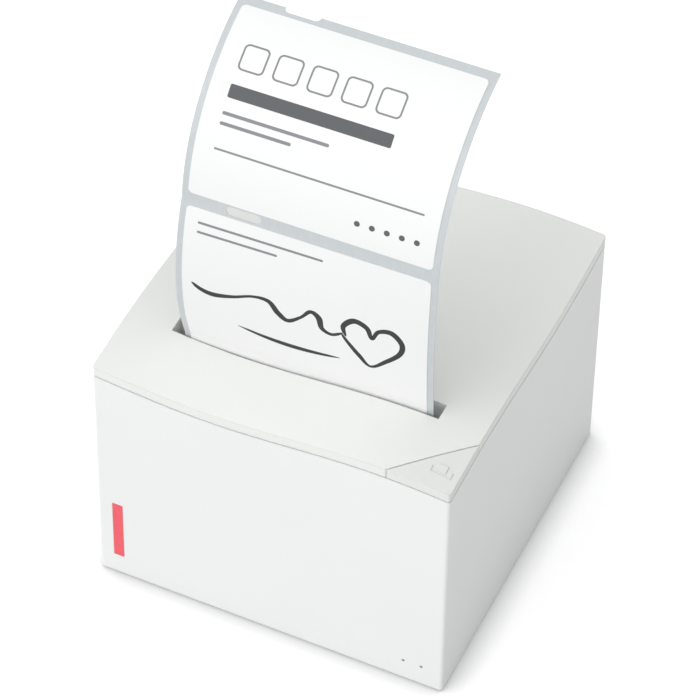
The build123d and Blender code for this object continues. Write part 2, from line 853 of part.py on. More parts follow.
# Label roll on its core, with two hubs on a spindle
with BuildPart() as label_roll:
    rod_x(strip_left, strip_right, roll_y, roll_height, roll_radius)
    rod_x(strip_left, strip_right, roll_y, roll_height, core_radius + snug_fit, mode=Mode.SUBTRACT)
label_roll.part.label = "label_roll"
export_step(label_roll.part, "parts/label_roll.step")

with BuildPart() as roll_core:
    rod_x(strip_left, strip_right, roll_y, roll_height, core_radius)
    rod_x(strip_left, strip_right, roll_y, roll_height, core_radius - core_wall, mode=Mode.SUBTRACT)
roll_core.part.label = "roll_core"
export_step(roll_core.part, "parts/roll_core.step")

with BuildPart() as roll_hubs:
    for face, out in ((strip_left, -1), (strip_right, 1)):
        seat = face + out * part_gap
        rim = seat + out * hub_flange
        inner = seat - out * hub_plug
        rod_x(min(seat, rim), max(seat, rim), roll_y, roll_height, hub_flange_radius)
        rod_x(min(seat, inner), max(seat, inner), roll_y, roll_height, core_radius - core_wall - running_fit)
        rod_x(
            min(rim, inner),
            max(rim, inner),
            roll_y,
            roll_height,
            spindle_radius + snug_fit,
            mode=Mode.SUBTRACT,
        )
roll_hubs.part.label = "roll_hubs"
export_step(roll_hubs.part, "parts/roll_hubs.step")

spindle_end = plate_out + 0.8
with BuildPart() as roll_spindle:
    rod_x(-spindle_end, spindle_end, roll_y, roll_height, spindle_radius)
roll_spindle.part.label = "roll_spindle"
export_step(roll_spindle.part, "parts/roll_spindle.step")

# Platen roller: rubber on a steel shaft, a gear at the right and a bush at each end
bush_in = plate_x - arm_sheet - 0.4
bush_out = plate_out + 0.3
with BuildPart() as platen_shaft:
    rod_x(-bush_in, bush_in, platen_y, platen_height, platen_core_radius)
    rod_x(-bush_out - 0.6, gear_x + gear_width + 0.5, platen_y, platen_height, platen_end_radius)
platen_shaft.part.label = "platen_shaft"
export_step(platen_shaft.part, "parts/platen_shaft.step")

with BuildPart() as platen_rubber:
    reach = platen_length / 2
    rod_x(-reach, reach, platen_y, platen_height, platen_radius)
    rod_x(-reach, reach, platen_y, platen_height, platen_core_radius + snug_fit, mode=Mode.SUBTRACT)
platen_rubber.part.label = "platen_rubber"
export_step(platen_rubber.part, "parts/platen_rubber.step")

with BuildPart() as platen_bushes:
    for low, high in ((-bush_out, -bush_in), (bush_in, bush_out)):
        rod_x(low, high, platen_y, platen_height, bush_radius)
        rod_x(low, high, platen_y, platen_height, platen_end_radius + running_fit, mode=Mode.SUBTRACT)
platen_bushes.part.label = "platen_bushes"
export_step(platen_bushes.part, "parts/platen_bushes.step")


def gear(y, z, teeth, first_tooth, bore):
    """Spur gear with plain tapered teeth, its first tooth at an angle in degrees."""
    radius = gear_module * teeth / 2
    root = radius - dedendum
    tip = radius + addendum
    half_root = tooth_pitch_width / 2 + tooth_taper * dedendum
    half_tip = tooth_pitch_width / 2 - tooth_taper * addendum
    with BuildPart() as wheel:
        with BuildSketch(Plane.YZ.offset(gear_x)):
            with Locations((y, z)):
                Circle(root)
                with PolarLocations(0, teeth, start_angle=first_tooth):
                    Polygon(
                        (root - 0.4, -half_root),
                        (tip, -half_tip),
                        (tip, half_tip),
                        (root - 0.4, half_root),
                        align=None,
                    )
                Circle(bore, mode=Mode.SUBTRACT)
        extrude(amount=gear_width)
    return wheel.part


# Gear train: pinion, idler and platen gear, set in mesh
idler_step = 360 / idler_teeth
idler_first = 90 + idler_step / 2
mesh_share = ((pinion_angle - idler_first) / idler_step) % 1
pinion_first = (
    pinion_angle + 180
    + mesh_share * idler_step * idler_teeth / pinion_teeth
    + 180 / pinion_teeth
)
with BuildPart() as platen_gear:
    add(gear(platen_y, platen_height, platen_teeth, -90, platen_end_radius + snug_fit))
platen_gear.part.label = "platen_gear"
export_step(platen_gear.part, "parts/platen_gear.step")

with BuildPart() as idler_gear:
    add(gear(platen_y, idler_z, idler_teeth, idler_first, idler_axle_radius + running_fit))
idler_gear.part.label = "idler_gear"
export_step(idler_gear.part, "parts/idler_gear.step")

with BuildPart() as motor_pinion:
    add(gear(pinion_y, pinion_z, pinion_teeth, pinion_first, motor_shaft_radius + snug_fit))
motor_pinion.part.label = "motor_pinion"
export_step(motor_pinion.part, "parts/motor_pinion.step")

axle_head = 1.0
gear_out = gear_x + gear_width
with BuildPart() as idler_axle:
    rod_x(plate_x, gear_out + part_gap, platen_y, idler_z, idler_axle_radius)
    rod_x(gear_out + part_gap, gear_out + part_gap + axle_head, platen_y, idler_z, idler_axle_radius + 1.2)
idler_axle.part.label = "idler_axle"
export_step(idler_axle.part, "parts/idler_axle.step")

# Stepper motor inside the right plate
motor_left = plate_x - motor_flange - motor_length
with BuildPart() as stepper_motor:
    rod_x(motor_left, plate_x - motor_flange, pinion_y, pinion_z, motor_radius)
    block(
        (plate_x - motor_flange, pinion_y - 4, pinion_z - motor_ear_reach - 2.8),
        (plate_x, pinion_y + 4, pinion_z + motor_ear_reach + 2.8),
    )
    rod_x(plate_x - motor_flange, plate_x, pinion_y, pinion_z, motor_radius - 2)
    rod_x(plate_x, plate_out, pinion_y, pinion_z, motor_boss_radius)
    rod_x(plate_x - 3, plate_out, pinion_y, pinion_z, motor_shaft_radius + running_fit, mode=Mode.SUBTRACT)
    for z in (pinion_z - motor_ear_reach, pinion_z + motor_ear_reach):
        rod_x(plate_x - motor_flange, plate_x, pinion_y, z, screw_hole, mode=Mode.SUBTRACT)
stepper_motor.part.label = "stepper_motor"
export_step(stepper_motor.part, "parts/stepper_motor.step")

with BuildPart() as motor_shaft:
    rod_x(plate_x - 3, gear_out + 0.3, pinion_y, pinion_z, motor_shaft_radius)
motor_shaft.part.label = "motor_shaft"
export_step(motor_shaft.part, "parts/motor_shaft.step")

with BuildPart() as motor_screws:
    for z in (pinion_z - motor_ear_reach, pinion_z + motor_ear_reach):
        rod_x(plate_x - motor_flange - 1.3, plate_x - motor_flange, pinion_y, z, 2.2)
        rod_x(plate_x - motor_flange, plate_out, pinion_y, z, screw_radius)
motor_screws.part.label = "motor_screws"
export_step(motor_screws.part, "parts/motor_screws.step")

# Side plates: they carry the roll, the head, the gears and, in a saddle, the platen's bushes
plate_front = front_y + 6.0
plate_step = front_y + 10.5
plate_rear = roll_y + 12.0
shoulder = platen_y + 8.0
rear_top = roll_height + 9.0
step_low = platen_height - 23.0
step_high = platen_height - 15.0
shoulder_low = platen_height - 13.0
saddle_radius = bush_radius + knuckle_gap


def side_plate(side):
    """Steel side plate with its foot turned outwards. side is -1 left or 1 right."""
    near = side * plate_x
    far = side * plate_out
    low_x, high_x = min(near, far), max(near, far)
    with BuildPart() as plate:
        with BuildSketch(Plane.YZ.offset(low_x)):
            with BuildLine():
                Polyline(
                    (plate_front, floor_top),
                    (plate_front, step_low),
                    (plate_step, step_high),
                    (plate_step, platen_height),
                    (shoulder, platen_height),
                    (shoulder, shoulder_low),
                    (roll_y - 8.0, rear_top + 5.0),
                    (roll_y - 8.0, rear_top),
                    (plate_rear, rear_top),
                    (plate_rear, floor_top),
                    close=True,
                )
            make_face()
            with Locations((platen_y, platen_height)):
                Circle(saddle_radius, mode=Mode.SUBTRACT)
            with Locations((roll_y, roll_height)):
                Circle(spindle_radius + 0.1, mode=Mode.SUBTRACT)
            with Locations((roll_y, (roll_height + rear_top) / 2 + 1)):
                Rectangle(2 * spindle_radius + 0.2, rear_top - roll_height + 2, mode=Mode.SUBTRACT)
        extrude(amount=plate_sheet)
        rod_x(low_x, high_x, pivot.Y, pivot.Z, pivot_radius + snug_fit, mode=Mode.SUBTRACT)
        if side > 0:
            rod_x(low_x, high_x, platen_y, idler_z, idler_axle_radius + snug_fit, mode=Mode.SUBTRACT)
            rod_x(low_x, high_x, pinion_y, pinion_z, motor_boss_radius + snug_fit, mode=Mode.SUBTRACT)
            for z in (pinion_z - motor_ear_reach, pinion_z + motor_ear_reach):
                rod_x(low_x, high_x, pinion_y, z, screw_hole, mode=Mode.SUBTRACT)
        edge = side * flange_out
        block(
            (min(near, edge), flange_front, floor_top),
            (max(near, edge), flange_back, floor_top + plate_sheet),
        )
        for y in plate_screw_ys:
            rod_z(
                floor_top,
                floor_top + plate_sheet,
                side * plate_screw_x,
                y,
                screw_hole,
                mode=Mode.SUBTRACT,
            )
    return plate.part


with BuildPart() as left_plate:
    add(side_plate(-1))
left_plate.part.label = "left_plate"
export_step(left_plate.part, "parts/left_plate.step")

with BuildPart() as right_plate:
    add(side_plate(1))
right_plate.part.label = "right_plate"
export_step(right_plate.part, "parts/right_plate.step")

with BuildPart() as plate_screws:
    for x in (-plate_screw_x, plate_screw_x):
        for y in plate_screw_ys:
            head_low = floor_top + plate_sheet
            rod_z(head_low, head_low + 1.4, x, y, 2.4)
            rod_z(foot_standout + 0.3, head_low, x, y, screw_radius)
plate_screws.part.label = "plate_screws"
export_step(plate_screws.part, "parts/plate_screws.step")

# Print head: ceramic plate on an aluminium heat sink, pressed to the platen by two springs
with BuildPart() as thermal_head:
    with BuildSketch(nip_plane.offset(head_offset)):
        with Locations((0, (head_rise - head_drop) / 2)):
            Rectangle(head_width, head_rise + head_drop)
    extrude(amount=head_plate)
thermal_head.part.label = "thermal_head"
export_step(thermal_head.part, "parts/thermal_head.step")

barrel_x = 42.0
barrel_length = 5.0
with BuildPart() as head_sink:
    with BuildSketch(nip_plane.offset(sink_offset)):
        with Locations((0, (head_rise - sink_drop) / 2)):
            Rectangle(head_width, head_rise + sink_drop)
    extrude(amount=sink_plate)
    for low in (-barrel_x, barrel_x - barrel_length):
        rod_x(low, low + barrel_length, pivot.Y, pivot.Z, pivot_barrel)
        rod_x(low, low + barrel_length, pivot.Y, pivot.Z, pivot_radius + running_fit, mode=Mode.SUBTRACT)
head_sink.part.label = "head_sink"
export_step(head_sink.part, "parts/head_sink.step")

with BuildPart() as head_pivot_rod:
    rod_x(-plate_out, plate_out, pivot.Y, pivot.Z, pivot_radius)
head_pivot_rod.part.label = "head_pivot_rod"
export_step(head_pivot_rod.part, "parts/head_pivot_rod.step")

spring_start = sink_offset + sink_plate
spring_drop = 2.0
with BuildPart() as head_springs:
    with BuildSketch(nip_plane.offset(spring_start)):
        with Locations((-spring_x, -spring_drop), (spring_x, -spring_drop)):
            Circle(spring_radius)
            Circle(spring_radius - spring_wire, mode=Mode.SUBTRACT)
    extrude(amount=bar_offset - spring_start)
head_springs.part.label = "head_springs"
export_step(head_springs.part, "parts/head_springs.step")

bar_rise = 4.0
bar_drop = 12.0
with BuildPart() as cross_bar:
    with BuildSketch(nip_plane.offset(bar_offset)):
        with Locations((0, (bar_rise - bar_drop) / 2)):
            Rectangle(2 * plate_x, bar_rise + bar_drop)
    extrude(amount=bar_plate)
    with BuildSketch(nip_plane.offset(bar_offset)):
        with Locations((0, -bar_drop + bar_plate / 2)):
            Rectangle(2 * plate_x, bar_plate)
    extrude(amount=6)
cross_bar.part.label = "cross_bar"
export_step(cross_bar.part, "parts/cross_bar.step")

# Guide plate in front of the web, with the sensor that finds the gaps between labels
guide_top = 22.0
guide_bottom = 42.0
guide_offset = web_radius + liner_thickness + 0.8
guide_sheet = 2.0
sensor_x = -20.0
sensor_size = 6.0
with BuildPart() as paper_guide:
    with BuildSketch(web_plane.offset(guide_offset)):
        with Locations((0, -(guide_top + guide_bottom) / 2)):
            Rectangle(2 * plate_x, guide_bottom - guide_top)
        with Locations((sensor_x, -(guide_top + guide_bottom) / 2)):
            Rectangle(sensor_size + 0.2, sensor_size + 0.2, mode=Mode.SUBTRACT)
    extrude(amount=guide_sheet)
paper_guide.part.label = "paper_guide"
export_step(paper_guide.part, "parts/paper_guide.step")

with BuildPart() as gap_sensor:
    with BuildSketch(web_plane.offset(guide_offset + 0.3)):
        with Locations((sensor_x, -(guide_top + guide_bottom) / 2)):
            Rectangle(sensor_size, sensor_size)
    extrude(amount=guide_sheet)
    with BuildSketch(web_plane.offset(guide_offset + guide_sheet)):
        with Locations((sensor_x, -(guide_top + guide_bottom) / 2)):
            Rectangle(12, 9)
    extrude(amount=1.2)
gap_sensor.part.label = "gap_sensor"
export_step(gap_sensor.part, "parts/gap_sensor.step")

# Carrier under the lid that holds the platen's bushes in two arms
arm_out = plate_x - 0.4
arm_in = arm_out - arm_sheet
carrier_front = slot_back + liner_wall + 0.6
with BuildPart() as platen_carrier:
    block((-arm_out, carrier_front, carrier_height), (arm_out, carrier_y, carrier_top))
    for low in (-arm_out, arm_in):
        with BuildSketch(Plane.YZ.offset(low)):
            with Locations((platen_y, platen_height)):
                Circle(bush_radius + 2.4)
            with BuildLine():
                Polyline(
                    (carrier_front, platen_height),
                    (platen_y + bush_radius + 2, platen_height),
                    (carrier_y, carrier_height),
                    (carrier_y, carrier_top),
                    (carrier_front, carrier_top),
                    close=True,
                )
            make_face()
        extrude(amount=arm_sheet)
        rod_x(low, low + arm_sheet, platen_y, platen_height, bush_radius + running_fit, mode=Mode.SUBTRACT)
    for x in carrier_screw_x:
        rod_z(carrier_height, carrier_top, x, carrier_screw_y, screw_hole, mode=Mode.SUBTRACT)
platen_carrier.part.label = "platen_carrier"
export_step(platen_carrier.part, "parts/platen_carrier.step")

with BuildPart() as carrier_screws:
    for x in carrier_screw_x:
        rod_z(carrier_height - 1.4, carrier_height, x, carrier_screw_y, 2.4)
        rod_z(carrier_height, carrier_top + 2, x, carrier_screw_y, screw_radius)
carrier_screws.part.label = "carrier_screws"
export_step(carrier_screws.part, "parts/carrier_screws.step")

# Main board at the rear with its parts, screws, power inlet, port and switch
with BuildPart() as main_board:
    block((-board_width / 2, board_front, board_low), (board_width / 2, board_back, board_high))
    for x in (-board_screw_x, board_screw_x):
        for z in (board_screw_low, board_screw_high):
            rod_y(board_front, board_back, x, z, screw_hole, mode=Mode.SUBTRACT)
main_board.part.label = "main_board"
export_step(main_board.part, "parts/main_board.step")

with BuildPart() as board_screws:
    for x in (-board_screw_x, board_screw_x):
        for z in (board_screw_low, board_screw_high):
            rod_y(board_front - 1.4, board_front, x, z, 2.4)
            rod_y(board_front, board_back + 4, x, z, screw_radius)
board_screws.part.label = "board_screws"
export_step(board_screws.part, "parts/board_screws.step")

chip_sheet = 1.6
cable_left = -20.0
cable_width = 16.0
cable_sheet = 0.4
lead_left = 27.0
lead_width = 5.0
connector_low = 17.0
connector_high = 21.0
with BuildPart() as board_parts:
    for x, z, wide, high, deep in (
        (-4, 46, 14, 14, chip_sheet),
        (16, 50, 8, 10, chip_sheet),
        (-24, 48, 10, 7, chip_sheet),
        (28, 42, 6, 6, 4.5),
        (-26, 60, 9, 4, 3.0),
    ):
        block((x - wide / 2, board_back, z - high / 2), (x + wide / 2, board_back + deep, z + high / 2))
    for left, width in ((cable_left, cable_width), (lead_left, lead_width)):
        block(
            (left - 1, board_front - 2.2, connector_low),
            (left + width + 1, board_front, connector_high),
        )
board_parts.part.label = "board_parts"
export_step(board_parts.part, "parts/board_parts.step")

mouth_y = back_y - 0.3
jack_bore_radius = 3.0
jack_pin_radius = 1.0
with BuildPart() as power_inlet:
    low_x = jack_x - jack_size[0] / 2
    block((low_x, board_back, port_low), (low_x + jack_size[0], mouth_y, port_low + jack_size[1]))
    centre_z = port_low + jack_size[1] / 2
    rod_y(board_back + 2, mouth_y, jack_x, centre_z, jack_bore_radius, mode=Mode.SUBTRACT)
    rod_y(board_back + 1, mouth_y - 1.5, jack_x, centre_z, jack_pin_radius)
power_inlet.part.label = "power_inlet"
export_step(power_inlet.part, "parts/power_inlet.step")

with BuildPart() as data_port:
    centre_z = port_low + port_size[1] / 2
    with BuildSketch(Plane((port_x, mouth_y, centre_z), x_dir=(1, 0, 0), z_dir=(0, -1, 0))):
        RectangleRounded(port_size[0], port_size[1], 1.5)
    extrude(amount=mouth_y - board_back)
    with BuildSketch(Plane((port_x, mouth_y, centre_z), x_dir=(1, 0, 0), z_dir=(0, -1, 0))):
        RectangleRounded(port_size[0] - 0.7, port_size[1] - 0.7, 1.2)
    extrude(amount=6.5, mode=Mode.SUBTRACT)
    block((port_x - 3.2, mouth_y - 7, centre_z - 0.35), (port_x + 3.2, mouth_y - 1, centre_z + 0.35))
data_port.part.label = "data_port"
export_step(data_port.part, "parts/data_port.step")

switch_front = inner_back - 2.9
flange_rest = inner_back - 0.6
with BuildPart() as power_switch:
    block(
        (button_x - 5.5, board_back, button_height - 5.5),
        (button_x + 5.5, switch_front, button_height + 5.5),
    )
power_switch.part.label = "power_switch"
export_step(power_switch.part, "parts/power_switch.step")

with BuildPart() as power_button:
    rod_y(switch_front + button_stroke + 0.3, flange_rest, button_x, button_height, button_radius + 1)
    rod_y(flange_rest - 1, back_y + 0.6, button_x, button_height, button_radius)
power_button.part.label = "power_button"
export_step(power_button.part, "parts/power_button.step")


def flat_cable(left, width, top_y, top_z):
    """Flat cable: down from its start, along the floor, and up the board."""
    low = floor_top + 0.1
    front = top_y - cable_sheet
    rear = board_front - 2.3
    bend = 2.0
    with BuildPart() as cable:
        with BuildSketch(Plane.YZ.offset(left)):
            with BuildLine():
                FilletPolyline(
                    (front, top_z),
                    (front, low),
                    (rear, low),
                    (rear, connector_high),
                    radius=bend + cable_sheet,
                )
                FilletPolyline(
                    (top_y, top_z),
                    (top_y, low + cable_sheet),
                    (rear - cable_sheet, low + cable_sheet),
                    (rear - cable_sheet, connector_high),
                    radius=bend,
                )
                Line((front, top_z), (top_y, top_z))
                Line((rear, connector_high), (rear - cable_sheet, connector_high))
            make_face()
        extrude(amount=width)
    return cable.part


cable_top = nip_plane.from_local_coords(Vector(0, -sink_drop, sink_offset + sink_plate))
with BuildPart() as head_cable:
    add(flat_cable(cable_left, cable_width, cable_top.Y - 2.2, cable_top.Z - 0.6))
head_cable.part.label = "head_cable"
export_step(head_cable.part, "parts/head_cable.step")

with BuildPart() as motor_cable:
    add(flat_cable(lead_left, lead_width, pinion_y, pinion_z - motor_radius - 0.1))
motor_cable.part.label = "motor_cable"
export_step(motor_cable.part, "parts/motor_cable.step")
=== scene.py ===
"""A desktop printer for sticky labels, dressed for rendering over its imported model."""

import json
import logging
import math
from dataclasses import dataclass, field
from enum import Enum
from typing import Any, Iterable, Sequence

import bmesh
import bpy
from mathutils import Matrix, Vector

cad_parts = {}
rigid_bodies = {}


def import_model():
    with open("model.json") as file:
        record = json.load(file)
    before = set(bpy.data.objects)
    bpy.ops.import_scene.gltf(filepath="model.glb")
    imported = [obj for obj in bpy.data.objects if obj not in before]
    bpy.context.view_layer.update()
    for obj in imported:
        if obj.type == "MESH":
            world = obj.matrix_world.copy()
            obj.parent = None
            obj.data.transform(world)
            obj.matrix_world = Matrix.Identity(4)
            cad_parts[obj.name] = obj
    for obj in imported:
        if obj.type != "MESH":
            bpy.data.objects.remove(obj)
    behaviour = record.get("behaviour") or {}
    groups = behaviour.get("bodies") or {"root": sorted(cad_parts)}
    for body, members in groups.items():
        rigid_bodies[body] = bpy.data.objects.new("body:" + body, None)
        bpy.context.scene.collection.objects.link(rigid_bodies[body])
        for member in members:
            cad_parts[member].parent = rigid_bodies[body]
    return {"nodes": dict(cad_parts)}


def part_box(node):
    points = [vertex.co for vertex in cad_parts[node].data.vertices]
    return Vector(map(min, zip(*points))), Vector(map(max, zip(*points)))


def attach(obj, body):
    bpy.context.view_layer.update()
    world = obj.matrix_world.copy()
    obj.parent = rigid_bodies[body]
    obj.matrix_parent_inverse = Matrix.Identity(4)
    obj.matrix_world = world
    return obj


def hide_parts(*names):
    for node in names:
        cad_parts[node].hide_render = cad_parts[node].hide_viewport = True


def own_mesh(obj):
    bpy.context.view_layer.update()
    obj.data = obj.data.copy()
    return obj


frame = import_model()

LOG = logging.getLogger("label_printer")
MM = 0.001
# How far a round end stays short of a full half circle, in millimetres.
HAIR = 0.01
# Steps of this share never fall into a rhythm, so the roll's rings look uneven.
GOLDEN_SHARE = 0.618

Flat = tuple[float, float]
Triple = tuple[float, float, float]
Shape = bmesh.types.BMesh
Tree = bpy.types.NodeTree
Socket = bpy.types.NodeSocket


class Body(Enum):
    """The moving groups of the printer that new pieces ride on."""

    BASE = "base"
    LID = "lid"
    ROLL = "roll"


class Slot(Enum):
    """The record's material slots, named alongside new pieces, which take their finish from a Finish."""

    LINER = "paper_liner"
    LABEL = "paper_label"
    SCREW = "steel_screw"
    SPRING = "spring_steel"


def linear(hex_colour: str) -> tuple[float, float, float, float]:
    """Turn six sRGB hex digits into Blender's linear colour, with an alpha of 1."""
    parts = [int(hex_colour[i : i + 2], 16) / 255 for i in (0, 2, 4)]
    red, green, blue = [v / 12.92 if v <= 0.04045 else ((v + 0.055) / 1.055) ** 2.4 for v in parts]
    return red, green, blue, 1.0


def add_node(
    tree: Tree, kind: str, inputs: dict[Any, Any] | None = None, **settings: Any
) -> bpy.types.Node:
    """Add one node to a tree.

    Args:
        tree: The node tree.
        kind: Blender's name for the kind of node.
        inputs: For each input socket, by name or number, a value or a socket to link from.
        **settings: The node's own properties.

    Returns:
        The new node.
    """
    node = tree.nodes.new(kind)
    for name, value in settings.items():
        setattr(node, name, value)
    for socket, value in (inputs or {}).items():
        if isinstance(value, Socket):
            tree.links.new(value, node.inputs[socket])
        else:
            node.inputs[socket].default_value = value
    return node


def blank_tree(owner: bpy.types.Material | bpy.types.World) -> Tree:
    """Give a material's or world's node tree, emptied."""
    owner.use_nodes = True
    owner.node_tree.nodes.clear()
    return owner.node_tree


def noise(tree: Tree, place: Socket, scale: float, detail: float, roughness: float = 0.5) -> Socket:
    """Draw a noise pattern."""
    inputs = {"Vector": place, "Scale": scale, "Detail": detail, "Roughness": roughness}
    return add_node(tree, "ShaderNodeTexNoise", inputs).outputs["Fac"]


def mix(tree: Tree, share: Socket, first: Any, second: Any) -> Socket:
    """Mix two colours by a share."""
    inputs = {0: share, 6: first, 7: second}
    return add_node(tree, "ShaderNodeMix", inputs, data_type="RGBA").outputs[2]


def combine(tree: Tree, operation: str, first: Any, second: Any) -> Socket:
    """Combine two values by one operation of Blender's Math node."""
    return add_node(tree, "ShaderNodeMath", {0: first, 1: second}, operation=operation).outputs[0]


def remap(tree: Tree, value: Socket, source: Flat, target: Flat = (0.0, 1.0)) -> Socket:
    """Map one range of a value onto another, and hold what lies outside at its ends."""
    inputs = {"Value": value, "From Min": source[0], "From Max": source[1]}
    inputs |= {"To Min": target[0], "To Max": target[1]}
    return add_node(tree, "ShaderNodeMapRange", inputs).outputs["Result"]


def stand(name: str, data: Any) -> bpy.types.Object:
    """Make an object of a mesh, lamp or camera and link it to the scene."""
    thing = bpy.data.objects.new(name, data)
    bpy.context.scene.collection.objects.link(thing)
    return thing


def draw(shape: Shape, points: Iterable[Sequence[float]], closed: bool = True) -> None:
    """Draw edges from point to point, and back to the first one where the line is closed."""
    verts = [shape.verts.new(point) for point in points]
    for first, second in zip(verts, verts[1:] + verts[:1] if closed else verts[1:]):
        shape.edges.new((first, second))


def fill(shape: Shape) -> None:
    """Fill flat outlines, leaving their holes open."""
    bmesh.ops.triangle_fill(shape, use_beauty=True, use_dissolve=False, edges=shape.edges)


def cut(shape: Shape, point: Vector, normal: Sequence[float], merge: float = 1e-6) -> None:
    """Cut the faces along a plane and keep both sides."""
    geometry = shape.verts[:] + shape.edges[:] + shape.faces[:]
    bmesh.ops.bisect_plane(shape, geom=geometry, dist=merge, plane_co=point, plane_no=normal)


def extrude(shape: Shape, faces: Sequence[bmesh.types.BMFace], rise: float) -> None:
    """Extrude faces up by a rise, or down by a negative one."""
    lifted = bmesh.ops.extrude_face_region(shape, geom=faces)
    tops = [v for v in lifted["geom"] if isinstance(v, bmesh.types.BMVert)]
    bmesh.ops.translate(shape, verts=tops, vec=(0, 0, rise))


def lathe(shape: Shape, centre: Sequence[float], axis: Sequence[float], steps: int) -> None:
    """Spin a drawn profile once round an axis and close it."""
    bmesh.ops.spin(
        shape, geom=shape.verts[:] + shape.edges[:], cent=centre, axis=axis, angle=math.tau,
        steps=steps, use_merge=True,
    )


def take_in(shape: Shape, part: Shape) -> None:
    """Add a second mesh to the first and free it."""
    mesh = bpy.data.meshes.new("part")
    part.to_mesh(mesh)
    part.free()
    shape.from_mesh(mesh)
    bpy.data.meshes.remove(mesh)


def rounded(
    x_low: float, x_high: float, s_low: float, s_high: float, radius: float, steps: int = 6
) -> list[Flat]:
    """Give the outline of a rectangle with rounded corners."""
    corners = (
        (x_high - radius, s_low + radius, -90),
        (x_high - radius, s_high - radius, 0),
        (x_low + radius, s_high - radius, 90),
        (x_low + radius, s_low + radius, 180),
    )
    points = []
    for x, s, start in corners:
        for i in range(steps + 1):
            turn = math.radians(start + 90 * i / steps)
            points.append((x + radius * math.cos(turn), s + radius * math.sin(turn)))
    return points


class Weave(Enum):
    """The patterns a finish can have besides its fine grain."""

    NONE = "none"
    BRUSHED = "brushed"
    CLOTH = "cloth"
    WOUND = "wound"
    TRACES = "traces"
    STRIPES = "stripes"
    FIBRES = "fibres"


